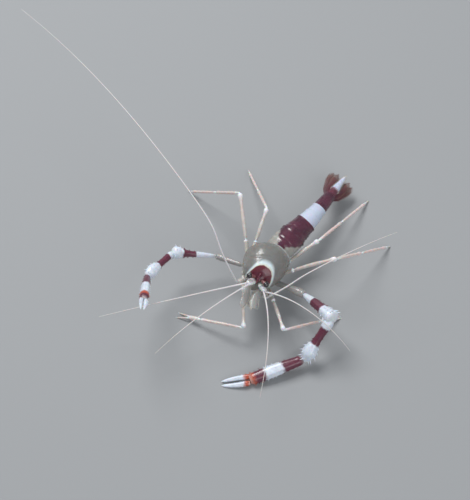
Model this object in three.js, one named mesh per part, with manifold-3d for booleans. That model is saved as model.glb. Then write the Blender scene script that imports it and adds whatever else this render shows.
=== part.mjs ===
// A banded cleaner shrimp, life size, standing still on slender legs with both great claws held out.
// Millimetres, +Z up, the floor at z = 0. The head points along -Y, the tail along +Y, and the
// animal's own left side is +X.
import * as THREE from 'three';
import * as BufferGeometryUtils from 'three/addons/utils/BufferGeometryUtils.js';
import Module from 'manifold-3d';

const wasm = await Module();
wasm.setup();

// ---------------------------------------------------------------- driving dimensions
const gap = 0.3; // clear space between neighbouring pieces
const bodyHeight = 13; // floor to the middle of the carapace
const bodyRoll = 18; // degrees, leaning to the animal's left
const bodyPitch = -6; // degrees, head up

const frontY = -7.7; // the carapace's front and rear ends, from its middle
const rearY = 6.4;
const carapaceHalfWidth = 6.6;
const carapaceHalfHeight = 6.2;
const carapaceMargin = -2.0; // height of the lower edge, from the middle of the carapace
const rostrumLength = 5.4;
const rostrumRise = 8; // degrees above the carapace's long axis
const rostrumHeight = 2.9; // of its root, from the middle of the carapace
const eyeRadius = 0.95;

const somites = [
  { length: 2.2, halfWidth: 4.0, heading: 74, pitch: -2 },
  { length: 5.6, halfWidth: 4.3, heading: 72, pitch: -3 },
  { length: 6.6, halfWidth: 4.1, heading: 73, pitch: -5 },
  { length: 4.2, halfWidth: 3.2, heading: 76, pitch: -10 },
  { length: 4.1, halfWidth: 2.7, heading: 78, pitch: -11 },
  { length: 7.6, halfWidth: 2.3, heading: 80, pitch: -11 },
];
const abdomenStart = new THREE.Vector3(1.3, 5.2, -0.6); // in the carapace's own frame
const abdomenRoll = 20; // degrees
const ringGap = 0.7; // room for a slight bend between two rings
const telson = { length: 9.8, width: 2.5, thickness: 0.8, heading: 80, pitch: -8 };
const tailBladeLength = 9.0;
const bladeThickness = 0.55; // tail fan blades and antenna scales

const flagellumRadius = 0.3;
const whipSpread = 0.38; // from the middle of an antennule's end to each of its two whips
const legRadius = 0.6; // of a walking leg's upper part
const footRadius = 0.34;

// ---------------------------------------------------------------- materials
const finish = (color, roughness) => new THREE.MeshStandardMaterial({ color, roughness, metalness: 0 });
const clear = finish(0xb7b9a4, 0.35);
const maroon = finish(0x6a1c2c, 0.4);
const white = finish(0xeef2f4, 0.45);
const cream = finish(0xe9ded4, 0.5);
const glassyBlack = finish(0x17131a, 0.15);

// ---------------------------------------------------------------- solids and placing
const radians = THREE.MathUtils.degToRad;
const shrimp = new THREE.Group();

// Adds a copy of the finish to a shape as one named piece.
function piece(name, geometry, material, parent = shrimp) {
  const mesh = new THREE.Mesh(geometry, material.clone());
  mesh.name = name;
  parent.add(mesh);
  return mesh;
}

// A closed solid for cutting and joining: vertices merged, triangles that shrink to a line left out.
function solid(geometry) {
  const bare = geometry.clone();
  bare.deleteAttribute('normal');
  bare.deleteAttribute('uv');
  const merged = BufferGeometryUtils.mergeVertices(bare, 1e-4);
  const corners = [];
  for (let i = 0; i < merged.index.count; i += 3) {
    const [a, b, c] = [0, 1, 2].map((k) => merged.index.getX(i + k));
    if (a !== b && b !== c && c !== a) {
      corners.push(a, b, c);
    }
  }
  const vertProperties = new Float32Array(merged.attributes.position.array);
  const triVerts = new Uint32Array(corners);
  return new wasm.Manifold(new wasm.Mesh({ numProp: 3, vertProperties, triVerts }));
}

function shell(cut) {
  const mesh = cut.getMesh();
  const geometry = new THREE.BufferGeometry();
  geometry.setAttribute('position', new THREE.BufferAttribute(mesh.vertProperties, 3));
  geometry.setIndex(new THREE.BufferAttribute(mesh.triVerts, 1));
  geometry.computeVertexNormals();
  return geometry;
}

const joined = (geometries) => shell(geometries.map(solid).reduce((sum, next) => sum.add(next)));

// A solid turned about +Y from [radius, y] pairs that run from one point on the axis to another.
function turned(profile, sides = 10) {
  return new THREE.LatheGeometry(profile.map(([radius, y]) => new THREE.Vector2(radius, y)), sides);
}

// A rounded rod about +Y from y = from to y = to, with a ball end of its own radius at the far end.
function limb(from, to, radii, sides = 8) {
  const [start, middle, late, ball] = radii;
  const span = to - from;
  const profile = [
    [0, from],
    [start, from],
    [middle, from + span * 0.25],
    [late, from + span * 0.8],
    [ball, to - ball * 0.2],
    [ball * 0.75, to + ball * 0.62],
    [0, to + ball],
  ];
  return turned(profile, sides);
}

// A thorn: a small cone standing on a rod of the given radius, at y, leaning towards the far end.
function thorn(y, angle, radius, size, lean = 25) {
  const geometry = new THREE.ConeGeometry(size * 0.36, size * 1.6, 5);
  geometry.translate(0, size * 0.5, 0);
  geometry.rotateZ(-Math.PI / 2 + radians(lean));
  geometry.translate(radius - size * 0.25, 0, 0);
  geometry.rotateY(-radians(angle));
  geometry.translate(0, y, 0);
  return geometry;
}

// A unit vector from a heading (0 = +X, 90 = +Y) and a pitch above the floor, in degrees.
function aim(heading, pitch) {
  const level = Math.cos(radians(pitch));
  return new THREE.Vector3(
    level * Math.cos(radians(heading)),
    level * Math.sin(radians(heading)),
    Math.sin(radians(pitch)),
  );
}

// The placing of a piece that runs along +Y: its start, its direction, and what its own +Z faces.
function placing(start, direction, face) {
  const along = direction.clone().normalize();
  const side = new THREE.Vector3().crossVectors(along, face).normalize();
  const up = new THREE.Vector3().crossVectors(side, along);
  return new THREE.Matrix4().makeBasis(side, along, up).setPosition(start);
}

function place(mesh, matrix) {
  matrix.decompose(mesh.position, mesh.quaternion, mesh.scale);
  return mesh;
}

const upward = new THREE.Vector3(0, 0, 1);
const aboveFloor = new THREE.BoxGeometry(400, 400, 100).translate(0, 0, 50);

// Cuts a piece flat where it meets the floor, and keeps it in its own frame.
function standing(geometry, matrix) {
  const placed = geometry.clone().applyMatrix4(matrix);
  const trimmed = shell(solid(placed).intersect(solid(aboveFloor)));
  return trimmed.applyMatrix4(matrix.clone().invert());
}

// ---------------------------------------------------------------- carapace, rostrum and thorax
const foreBody = new THREE.Group();
foreBody.position.set(0, 0, bodyHeight);
foreBody.rotation.set(radians(bodyPitch), radians(bodyRoll), 0);
shrimp.add(foreBody);
shrimp.updateMatrixWorld(true);

// The space behind the cut where the abdomen joins on, square to the abdomen's first length.
function behindFore() {
  const start = foreBody.localToWorld(abdomenStart.clone());
  const matrix = placing(start, aim(somites[0].heading, somites[0].pitch), upward);
  const block = new THREE.BoxGeometry(40, 40, 40).translate(0, 20 - gap, 0);
  return solid(block.applyMatrix4(matrix).applyMatrix4(foreBody.matrixWorld.clone().invert()));
}

// Behind y = from, the dome's middle curves to the animal's left and down, as the distance squared.
const bend = { from: 0, aside: 0.05, down: 0.022 };

function bent(geometry) {
  const position = geometry.attributes.position;
  for (let k = 0; k < position.count; k += 1) {
    const square = Math.max(0, position.getY(k) - bend.from) ** 2;
    position.setX(k, position.getX(k) + bend.aside * square);
    position.setZ(k, position.getZ(k) - bend.down * square);
  }
  return geometry;
}

function carapace() {
  const outline = [
    [0, frontY],
    [0.42, frontY + 0.1],
    [0.66, frontY + 1],
    [0.86, frontY + 3.2],
    [0.97, frontY + 5.8],
    [1, frontY + 8.6],
    [0.95, frontY + 10.4],
    [0.86, frontY + 11.8],
    [0.74, frontY + 13],
    [0.58, rearY],
    [0, rearY],
  ];
  const dome = turned(outline, 22);
  bent(dome.scale(carapaceHalfWidth, 1, carapaceHalfHeight));
  const below = new THREE.BoxGeometry(30, 40, 20).translate(0, 0, carapaceMargin - 10);
  const beakProfile = [
    [0, 0],
    [0.95, 0],
    [0.62, rostrumLength * 0.45],
    [0.16, rostrumLength * 0.97],
    [0, rostrumLength],
  ];
  const beak = turned(beakProfile, 8).scale(0.75, 1, 1).translate(0, -0.8, 0);
  const teeth = [1.0, 2.2, 3.3].map((y) => thorn(y, 90, 0.85 - y * 0.14, 0.7));
  const rostrum = joined([beak, ...teeth]).rotateX(radians(rostrumRise)).rotateZ(Math.PI);
  rostrum.translate(0, frontY + 0.9, rostrumHeight);
  return shell(solid(dome).subtract(solid(below)).subtract(behindFore()).add(solid(rostrum)));
}
piece('carapace', carapace(), clear, foreBody);

// Where each pair of legs leaves the body, in the carapace's own frame, for the left side.
const hips = {
  first: new THREE.Vector3(2.0, -6.1, -4.5),
  second: new THREE.Vector3(4.3, -3.1, -5.4),
  third: new THREE.Vector3(4.8, -0.9, -5.0),
  fourth: new THREE.Vector3(4.8, 1.7, -4.8),
  fifth: new THREE.Vector3(4.6, 3.9, -4.85),
};
const hipRadius = 0.85;
const mirrored = (point, side) => new THREE.Vector3(point.x * side, point.y, point.z);
const hipOf = (name, side) => foreBody.localToWorld(mirrored(hips[name], side));

function thorax() {
  const belly = new THREE.SphereGeometry(1, 12, 6).scale(3.7, 6.3, 2.3).translate(0, -0.3, -3.9);
  const mouth = new THREE.SphereGeometry(1, 8, 5).scale(1.6, 1.7, 1.6).translate(0, -6.6, -3.7);
  const parts = [belly, mouth];
  for (const name of Object.keys(hips)) {
    for (const side of [1, -1]) {
      const inner = new THREE.Vector3(side * 1.5, hips[name].y * 0.9, -4.2);
      const outer = mirrored(hips[name], side);
      const reach = outer.clone().sub(inner);
      const stub = limb(0, reach.length(), [0.8, 0.9, hipRadius, hipRadius], 6);
      parts.push(stub.applyMatrix4(placing(inner, reach, upward)));
    }
  }
  const above = new THREE.BoxGeometry(30, 40, 20).translate(0, 0, carapaceMargin - gap + 10);
  return shell(solid(joined(parts)).subtract(solid(above)).subtract(behindFore()));
}
piece('thorax', thorax(), clear, foreBody);

// ---------------------------------------------------------------- eyes and feelers
const sides = [['left', 1], ['right', -1]];

for (const [word, side] of sides) {
  // An eye is a dark ball on a short stalk that leaves the front of the head sideways.
  const stalk = limb(0, 1.5, [0.5, 0.6, 0.6, 0.5], 8);
  const ball = new THREE.SphereGeometry(eyeRadius, 10, 7).translate(0, 1.75, 0);
  const eye = piece(`eye_${word}`, joined([stalk, ball]), glassyBlack, foreBody);
  const eyeStart = new THREE.Vector3(side * 1.3, frontY - 0.85, 2.4);
  place(eye, placing(eyeStart, new THREE.Vector3(side * 0.85, -0.4, 0.2), upward));
}

// A feeler: a thin round whip whose heading and pitch both change evenly along its length.
function whipPoints(start, headings, pitches, length, steps) {
  const points = [start.clone()];
  for (let i = 0; i < steps; i += 1) {
    const t = (i + 0.5) / steps;
    const heading = THREE.MathUtils.lerp(headings[0], headings[1], t);
    const pitch = THREE.MathUtils.lerp(pitches[0], pitches[1], t);
    points.push(points[i].clone().addScaledVector(aim(heading, pitch), length / steps));
  }
  return points;
}

function whip(points) {
  const section = new THREE.Shape();
  for (let i = 0; i < 6; i += 1) {
    const turn = (i * Math.PI) / 3;
    const corner = [flagellumRadius * Math.cos(turn), flagellumRadius * Math.sin(turn)];
    if (i === 0) {
      section.moveTo(...corner);
    } else {
      section.lineTo(...corner);
    }
  }
  section.closePath();
  const extrudePath = new THREE.CatmullRomCurve3(points);
  return new THREE.ExtrudeGeometry(section, { steps: points.length - 1, extrudePath });
}

// Roots and tips of the stems that carry the whips, in the carapace's own frame. The antennules
// are both turned a little to the animal's left; the antennae's stems mirror each other.
const antennules = {
  left: { base: new THREE.Vector3(1.35, -8.35, 0.55), tip: new THREE.Vector3(3.4, -10.4, 1.0) },
  right: { base: new THREE.Vector3(-0.85, -8.3, 0.55), tip: new THREE.Vector3(-2.1, -10.8, 1.0) },
};
const antennaTip = new THREE.Vector3(4.6, -10.1, -1.7);
// Both scales are turned a little to the animal's left as well.
const scales = {
  left: { length: 7.8, direction: new THREE.Vector3(0.33, -7.7, -1.0) },
  right: { length: 8.8, direction: new THREE.Vector3(2.1, -8.2, -2.4) },
};

// Headings and pitches in degrees at both ends of a whip, its length, and its number of steps.
const whips = {
  antennule_outer_left: { headings: [-16, -23], pitches: [35, -34], length: 33.9, steps: 12 },
  antennule_inner_left: { headings: [-58, -85], pitches: [22, -43], length: 35.6, steps: 13 },
  antennule_outer_right: { headings: [-144, -151], pitches: [1, -13], length: 44.6, steps: 12 },
  antennule_inner_right: { headings: [-132, -116], pitches: [-13, -13], length: 34.3, steps: 10 },
};
// Each antenna bends near its base, so it is a short near piece and a long far piece.
const antennae = {
  left: {
    near: { headings: [10, 50], pitches: [50, 26], length: 13, steps: 7 },
    far: { headings: [40, 57], pitches: [26, -20], length: 34, steps: 9 },
  },
  right: {
    near: { headings: [170, 124], pitches: [62, 36], length: 19, steps: 8 },
    far: { headings: [146.7, 150.5], pitches: [20, -12], length: 100.5, steps: 22 },
  },
};

// The stout jointed base of a feeler, widest in its first third.
function stemShape(length) {
  return turned([[0, 0], [0.75, 0], [0.98, 1.1], [0.85, 1.9], [0.55, length], [0, length]], 9);
}

for (const [word, side] of sides) {
  const { base, tip } = antennules[word];
  const stalk = tip.clone().sub(base);
  const stemSolid = stemShape(stalk.length()).scale(1, 1, 0.72);
  const stem = piece(`antennule_stem_${word}`, stemSolid, white, foreBody);
  place(stem, placing(base, stalk, upward));

  const corner = new THREE.Vector3(side * 3.1, frontY - 0.1, -2.2);
  const reach = mirrored(antennaTip, side).sub(corner);
  const root = piece(`antenna_stem_${word}`, stemShape(reach.length()), clear, foreBody);
  place(root, placing(corner, reach, upward));

  // The scale beside each antenna: a long leaf, straight outside and curved inside. Placed along -Y,
  // the leaf's own +X is the animal's right.
  const { length: leafLength, direction } = scales[word];
  const leaf = new THREE.Shape();
  leaf.moveTo(side * -0.5, 0);
  leaf.lineTo(side * -0.9, leafLength * 0.92);
  leaf.quadraticCurveTo(side * 0.3, leafLength * 1.08, side * 1.25, leafLength * 0.7);
  leaf.quadraticCurveTo(side * 1.9, leafLength * 0.35, side * 0.5, 0);
  leaf.closePath();
  const flat = { depth: bladeThickness, bevelEnabled: false, curveSegments: 5 };
  const scale = piece(`antenna_scale_${word}`, new THREE.ExtrudeGeometry(leaf, flat), clear, foreBody);
  const scaleStart = new THREE.Vector3(side * 2.2, frontY - 0.7, -1.1);
  place(scale, placing(scaleStart, direction, upward));

  for (const branch of ['outer', 'inner']) {
    const name = `antennule_${branch}_${word}`;
    const { headings, pitches, length, steps } = whips[name];
    const aside = side * (branch === 'outer' ? whipSpread : -whipSpread);
    const start = foreBody.localToWorld(tip.clone().add(new THREE.Vector3(aside, -gap, 0)));
    const first = start.addScaledVector(aim(headings[0], pitches[0]), flagellumRadius);
    piece(name, whip(whipPoints(first, headings, pitches, length, steps)), cream);
  }

  const rootEnd = mirrored(antennaTip, side).add(new THREE.Vector3(side * 0.15, -gap * 1.5, 0));
  let start = foreBody.localToWorld(rootEnd);
  for (const [part, { headings, pitches, length, steps }] of Object.entries(antennae[word])) {
    const from = start.clone().addScaledVector(aim(headings[0], pitches[0]), gap);
    const points = whipPoints(from, headings, pitches, length, steps);
    piece(`antenna_${part}_${word}`, whip(points), cream);
    start = points[points.length - 1];
  }
}

// ---------------------------------------------------------------- mouth legs and walking legs
// Runs a limb from a joint: each length goes off at its own heading and pitch, in degrees.
function joints(start, lengths, angles) {
  const points = [start.clone()];
  lengths.forEach((length, i) => {
    points.push(points[i].clone().addScaledVector(aim(...angles[i]), length));
  });
  return points;
}

const along = (points, i) => points[i + 1].clone().sub(points[i]);
const lengthOf = (points, i) => along(points, i).length();

// A bent limb of two or three rods joined into one piece.
function bentLimb(points, radii) {
  const rods = radii.map((radius, i) => {
    const rod = limb(0, lengthOf(points, i), [radius * 0.8, radius, radius * 0.9, radius * 0.75], 7);
    return rod.applyMatrix4(placing(points[i], along(points, i), upward));
  });
  return joined(rods);
}

// [heading, pitch] of each rod in turn, in degrees.
const mouthLegs = {
  lengths: [4.6, 3.0],
  radii: [0.62, 0.5],
  left: [[-72, 9], [76, -79]],
  right: [[-74, 5], [18, -76]],
};
const firstLegs = {
  lengths: [1.9, 2.2, 1.6],
  radii: [0.52, 0.46, 0.4],
  left: [[-73, -19], [-78, -33], [-90, -60]],
  right: [[-69, -42], [-48, -12], [-76, -45]],
};

for (const [word, side] of sides) {
  const mouthStart = foreBody.localToWorld(new THREE.Vector3(side * 1.0, -8.7, -4.1));
  const mouthJoints = joints(mouthStart, mouthLegs.lengths, mouthLegs[word]);
  piece(`mouth_leg_${word}`, bentLimb(mouthJoints, mouthLegs.radii), clear);

  const firstStart = hipOf('first', side).addScaledVector(aim(...firstLegs[word][0]), hipRadius + gap);
  const firstJoints = joints(firstStart, firstLegs.lengths, firstLegs[word]);
  piece(`first_leg_${word}`, bentLimb(firstJoints, firstLegs.radii), clear);
}

// The second legs: an upper rod, a long wrist and a small pincer that rests on the floor.
const secondLegs = {
  lengths: [18, 14.5, 8.5],
  left: [[-55, 8], [53, -24], [51, -25.9]],
  right: [[-69, -10], [178, -15], [176, -18.9]],
  opened: { left: 3, right: 10 }, // degrees, each finger away from the other
};

// A small pincer: a slim palm with two straight fingers lying side by side.
function pincer(from, length, opened) {
  const palmEnd = length * 0.5;
  const palm = limb(from, palmEnd, [0.42, 0.62, 0.6, 0.5], 8);
  const fingers = [1, -1].map((hand) => {
    const finger = turned([[0, -0.4], [0.3, -0.4], [0.26, length * 0.3], [0, length - palmEnd]], 6);
    return finger.rotateZ(hand * radians(-opened)).translate(hand * 0.3, palmEnd, 0);
  });
  return joined([palm, ...fingers]);
}

for (const [word, side] of sides) {
  const [upperLength, wristLength, handLength] = secondLegs.lengths;
  const points = joints(hipOf('second', side), secondLegs.lengths, secondLegs[word]);
  const upper = limb(hipRadius + gap, upperLength, [0.55, legRadius, 0.52, 0.5]);
  const wrist = limb(0.5 + gap, wristLength, [0.4, 0.48, 0.48, 0.42]);
  const hand = pincer(0.42 + gap, handLength, secondLegs.opened[word]);
  const shapes = { upper, wrist, pincer: hand };
  Object.entries(shapes).forEach(([part, geometry], i) => {
    const matrix = placing(points[i], along(points, i), upward);
    const resting = part === 'pincer' ? standing(geometry, matrix) : geometry;
    place(piece(`second_leg_${part}_${word}`, resting, clear), matrix);
  });
}

// The fourth and fifth legs: one long upper rod to the knee, one long lower rod to the foot.
const standingLegs = {
  fourth: { lengths: [20.5, 29], left: [[18, 29], [64, -35]], right: [[119, 28], [158, -41.6]] },
  fifth: { lengths: [15.15, 30.5], left: [[51.5, 19.2], [76, -22]], right: [[91.1, 23], [123, -30]] },
};

for (const [pair, leg] of Object.entries(standingLegs)) {
  for (const [word, side] of sides) {
    const points = joints(hipOf(pair, side), leg.lengths, leg[word]);
    const upper = limb(hipRadius + gap, leg.lengths[0], [0.6, legRadius, 0.55, 0.55]);
    const lower = limb(0.55 + gap, leg.lengths[1], [0.42, 0.52, 0.42, footRadius]);
    const knee = placing(points[1], along(points, 1), upward);
    const hip = placing(points[0], along(points, 0), upward);
    place(piece(`${pair}_leg_upper_${word}`, upper, clear), hip);
    place(piece(`${pair}_leg_lower_${word}`, standing(lower, knee), clear), knee);
  }
}

// ---------------------------------------------------------------- the third legs, with the great claws
const fingerSpread = 1.15; // from the middle of the hand to the middle of each finger's root
const fingerLean = 2; // degrees, each finger towards the other

// A claw is ischium, merus, carpus, palm and fingers: the length, and the heading and pitch, of each.
// The radii are at the start, then along the piece, and last of the ball end. The right claw is the
// smaller. face is what the broad side of the hand looks at.
const claws = {
  left: {
    lengths: [11, 14.5, 14.9, 17.6, 8.6],
    angles: [[-12, 10], [-33, 17], [-112.8, -40.6], [-138.3, -6.4], [-154.5, -7.3]],
    radii: {
      ischium: [0.95, 1.1, 1.3, 1.0],
      merus: [0.95, 1.4, 1.55, 2.15, 1.2],
      carpus: [1.1, 1.3, 1.25, 2.3, 1.2],
      palm: [1.3, 1.85, 1.95, 1.5],
    },
    girth: 0.88,
    face: aim(-69, 80),
  },
  right: {
    lengths: [9.7, 13.8, 13.2, 15.1, 6.5],
    angles: [[-187, -7], [-152, 18.5], [-104.9, 13.4], [-71.4, 28], [-71.4, 28]],
    radii: {
      ischium: [0.7, 0.8, 0.92, 0.72],
      merus: [0.6, 0.9, 1.1, 1.8, 0.9],
      carpus: [0.8, 1.0, 1.05, 1.8, 0.9],
      palm: [0.85, 1.2, 1.3, 1.05],
    },
    girth: 0.6,
    face: aim(-69, 40),
  },
};

// A rod like a limb, slim along its first two thirds and clubbed before the ball end.
function clubbed(from, to, radii, sides = 10) {
  const [start, waist, neck, club, ball] = radii;
  const span = to - from;
  const profile = [
    [0, from],
    [start, from],
    [waist, from + span * 0.2],
    [neck, from + span * 0.6],
    [club, from + span * 0.84],
    [ball, to - ball * 0.2],
    [ball * 0.75, to + ball * 0.62],
    [0, to + ball],
  ];
  return turned(profile, sides);
}

// Thorns in a row along one side of a rod, growing towards its far end.
function thornRow(from, to, count, angle, radius, size) {
  return Array.from({ length: count }, (_, i) => {
    const t = count > 1 ? i / (count - 1) : 1;
    const y = THREE.MathUtils.lerp(from, to, t);
    return thorn(y, angle, radius * (0.8 + 0.2 * t), size * (0.75 + 0.25 * t));
  });
}

// One finger of a claw from y = from to y = to, thick at the root and drawn to a blunt point.
// The fixed finger is on the hand's +X side (hand = 1), the moving finger on its -X side (-1).
function clawFinger(from, to, girth, hand) {
  const length = to - from;
  const profile = [[0, 0], [0.8, 0], [0.95, 1.4], [0.74, length * 0.55], [0.4, length * 0.9], [0, length]];
  const finger = turned(profile.map(([radius, y]) => [radius * girth, y]), 9);
  finger.scale(1, 1, 0.85).rotateZ(radians(hand * fingerLean));
  return finger.translate(hand * fingerSpread * girth, from, 0);
}

for (const [word, side] of sides) {
  const { lengths, angles, radii, girth, face } = claws[word];
  const points = joints(hipOf('third', side), lengths, angles);
  const matrices = points.slice(0, 5).map((point, i) => placing(point, along(points, i), face));

  const ischium = limb(hipRadius + gap, lengths[0], radii.ischium, 10);
  place(piece(`claw_ischium_${word}`, ischium, clear), matrices[0]);

  const merusRod = clubbed(radii.ischium[3] + gap, lengths[1], radii.merus);
  const merusClub = radii.merus[3];
  const merusThorns = thornRow(lengths[1] * 0.74, lengths[1] * 0.86, 3, 180, merusClub * 0.94, 1.1 * girth);
  const merusSolid = joined([merusRod, ...merusThorns]);
  place(piece(`claw_merus_${word}`, merusSolid, white), matrices[1]);

  const carpusStart = radii.merus[4] + gap + 0.6 * girth;
  const carpusRod = clubbed(carpusStart, lengths[2], radii.carpus);
  const carpusThorns = [0, 180].flatMap((angle) => (
    thornRow(lengths[2] * 0.76, lengths[2] * 0.88, 2, angle, radii.carpus[3] * 0.96, 1.2 * girth)
  ));
  place(piece(`claw_carpus_${word}`, joined([carpusRod, ...carpusThorns]), maroon), matrices[2]);

  // The fixed finger is one solid with the palm; it and the moving finger share the fingers' frame.
  const palmEnd = lengths[3];
  const palmRod = limb(radii.carpus[4] + gap, palmEnd - 1.7 * girth, radii.palm, 12).scale(1, 1, 0.78);
  const fingersInPalm = matrices[3].clone().invert().multiply(matrices[4]);
  const fixedFinger = clawFinger(-2 * girth, lengths[4], girth, 1).applyMatrix4(fingersInPalm);
  const palmThorns = [0, 180].flatMap((angle) => (
    thornRow(palmEnd * 0.3, palmEnd * 0.85, 4, angle, radii.palm[2], 0.9 * girth)
  ));
  const palm = joined([palmRod, fixedFinger, ...palmThorns]);
  place(piece(`claw_palm_${word}`, standing(palm, matrices[3]), maroon), matrices[3]);

  const movingFinger = clawFinger(gap + 0.1, lengths[4], girth, -1);
  place(piece(`claw_finger_${word}`, standing(movingFinger, matrices[4]), white), matrices[4]);
}

// ---------------------------------------------------------------- abdomen
// A somite's section: an arched back whose side plates hang lower than the belly between them.
function somiteSection(halfWidth) {
  const backHeight = halfWidth * 0.92;
  const plateDrop = halfWidth * 0.62;
  const section = new THREE.Shape();
  section.moveTo(halfWidth, 0);
  section.absellipse(0, 0, halfWidth, backHeight, 0, Math.PI, false, 0);
  section.quadraticCurveTo(-halfWidth * 1.02, -plateDrop * 0.7, -halfWidth * 0.72, -plateDrop);
  section.lineTo(-halfWidth * 0.5, -plateDrop * 0.55);
  section.lineTo(halfWidth * 0.5, -plateDrop * 0.55);
  section.lineTo(halfWidth * 0.72, -plateDrop);
  section.quadraticCurveTo(halfWidth * 1.02, -plateDrop * 0.7, halfWidth, 0);
  return section;
}

// A swimmeret pair hangs under a somite: two flat paddles, swept back.
function swimmerets(halfWidth, length) {
  return [1, -1].map((hand) => {
    const paddle = new THREE.SphereGeometry(1, 6, 5).scale(0.9, 0.42, 1.9);
    paddle.rotateX(radians(28));
    return paddle.translate(hand * halfWidth * 0.38, length * 0.5 + 0.3, -halfWidth * 0.36 - 1.1);
  });
}

const abdomenStartWorld = foreBody.localToWorld(abdomenStart.clone());
const abdomenJoints = joints(
  abdomenStartWorld,
  [...somites.map((somite) => somite.length), telson.length],
  [...somites.map((somite) => [somite.heading, somite.pitch]), [telson.heading, telson.pitch]],
);
const leaningUp = new THREE.Vector3(Math.sin(radians(abdomenRoll)), 0, Math.cos(radians(abdomenRoll)));
const ringFinishes = [clear, maroon, maroon, white, white, maroon];

somites.forEach(({ length, halfWidth }, i) => {
  const nextWidth = i + 1 < somites.length ? somites[i + 1].halfWidth : halfWidth * 0.72;
  const depth = length - ringGap;
  const section = somiteSection(halfWidth);
  const ring = new THREE.ExtrudeGeometry(section, { depth, bevelEnabled: false, curveSegments: 9 });
  ring.rotateX(Math.PI / 2).translate(0, depth, 0);
  const position = ring.attributes.position;
  for (let k = 0; k < position.count; k += 1) {
    const t = position.getY(k) / depth;
    const shrink = THREE.MathUtils.lerp(1, Math.min(1, nextWidth / halfWidth), t);
    position.setX(k, position.getX(k) * shrink);
    position.setZ(k, position.getZ(k) * shrink);
  }
  const lastRing = somites.length - 1;
  const whole = i < lastRing ? joined([ring, ...swimmerets(halfWidth, length)]) : ring;
  const matrix = placing(abdomenJoints[i], along(abdomenJoints, i), leaningUp);
  place(piece(`abdomen_${i + 1}`, whole, ringFinishes[i]), matrix);
});

// ---------------------------------------------------------------- tail fan
const tailEnd = somites.length;
const tailMatrix = placing(abdomenJoints[tailEnd], along(abdomenJoints, tailEnd), leaningUp);
const fan = new THREE.Group();
place(fan, tailMatrix);
shrimp.add(fan);

// A leaf along +Y, narrow at its root and widest past the middle, of even thickness.
function leafBlade(length, width, thickness, rootWidth, widest) {
  const leaf = new THREE.Shape();
  leaf.moveTo(rootWidth * 0.5, 0);
  leaf.quadraticCurveTo(width * 0.62, length * widest, width * 0.22, length * 0.95);
  leaf.quadraticCurveTo(0, length * 1.04, -width * 0.22, length * 0.95);
  leaf.quadraticCurveTo(-width * 0.62, length * widest, -rootWidth * 0.5, 0);
  leaf.closePath();
  return new THREE.ExtrudeGeometry(leaf, { depth: thickness, bevelEnabled: false, curveSegments: 6 });
}

const telsonBlade = leafBlade(telson.length, telson.width, telson.thickness, telson.width, 0.3);
piece('telson', telsonBlade, white, fan).position.set(0, gap, -0.1);

// The two blades on each side: turned outwards in degrees, and hung below the telson.
const fanLayers = {
  inner: { spread: 8, drop: -1.0, width: 2.4 },
  outer: { spread: 17, drop: -1.9, width: 2.8 },
};

for (const [word, side] of sides) {
  for (const [part, { spread, drop, width }] of Object.entries(fanLayers)) {
    const blade = leafBlade(tailBladeLength, width, bladeThickness, 1.1, 0.62);
    const mesh = piece(`tail_${part}_${word}`, blade, maroon, fan);
    mesh.position.set(side * 0.9, gap, drop);
    mesh.rotation.z = radians(-side * spread);
  }
}

// ---------------------------------------------------------------- centred over its own footprint
const middle = new THREE.Box3().setFromObject(shrimp, true).getCenter(new THREE.Vector3());
shrimp.position.set(-middle.x, -middle.y, 0);
shrimp.updateMatrixWorld(true);

export default shrimp;
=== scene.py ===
import math

import bpy
import numpy as np
from mathutils import Matrix


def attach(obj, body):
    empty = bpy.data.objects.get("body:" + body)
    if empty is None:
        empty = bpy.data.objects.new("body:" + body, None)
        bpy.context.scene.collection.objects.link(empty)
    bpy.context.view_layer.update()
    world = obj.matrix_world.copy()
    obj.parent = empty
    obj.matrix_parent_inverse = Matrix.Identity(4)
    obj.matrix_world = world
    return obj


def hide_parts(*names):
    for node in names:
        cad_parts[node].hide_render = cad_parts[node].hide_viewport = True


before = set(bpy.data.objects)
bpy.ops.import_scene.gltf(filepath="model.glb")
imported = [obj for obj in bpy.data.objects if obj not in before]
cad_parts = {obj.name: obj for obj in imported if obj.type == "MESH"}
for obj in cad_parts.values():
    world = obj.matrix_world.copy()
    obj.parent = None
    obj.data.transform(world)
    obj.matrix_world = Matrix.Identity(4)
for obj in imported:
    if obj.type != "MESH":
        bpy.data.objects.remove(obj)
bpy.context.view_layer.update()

# ------------------------------------------------------------------ camera
# Looks down from in front of the head, a little to the animal's right, from 70 cm away. The middle
# of the carapace is 30.5 pixels right of the frame's middle and 13 below it, at 0.3 mm a pixel.
middle = np.array([32.4648, -3.0978, 13.0])
turn, tilt = math.radians(21), math.radians(55)
distance, pixel = 700.0, 0.3
frame_height = 500
off_right, off_below = 30.5, 13
across = np.array([math.cos(turn), math.sin(turn), 0.0])
level = np.array([-math.sin(turn), math.cos(turn), 0.0])
overhead = np.array([0.0, 0.0, 1.0])
raised = level * math.sin(tilt) + overhead * math.cos(tilt)
toward = overhead * math.sin(tilt) - level * math.cos(tilt)
aimed_at = middle - off_right * pixel * across + off_below * pixel * raised


def added(name, data):
    """A new object of that data, linked into the scene."""
    made = bpy.data.objects.new(name, data)
    bpy.context.scene.collection.objects.link(made)
    return made


lens = bpy.data.cameras.new("camera")
lens.sensor_width = 36.0
lens.lens = lens.sensor_width * distance / (frame_height * pixel)
lens.clip_start, lens.clip_end = 0.01, 20.0
camera = added("camera", lens)
stand = Matrix(np.column_stack([across, raised, toward]).tolist()).to_4x4()
stand.translation = (aimed_at + distance * toward) / 1000
camera.matrix_world = stand
bpy.context.scene.camera = camera

# ------------------------------------------------------------------ floor and light
# A plain pale studio floor, one broad soft lamp high behind the animal's right, a weaker one on the
# other side, and an even pale surround.
bpy.context.scene.view_settings.view_transform = "Standard"

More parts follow.
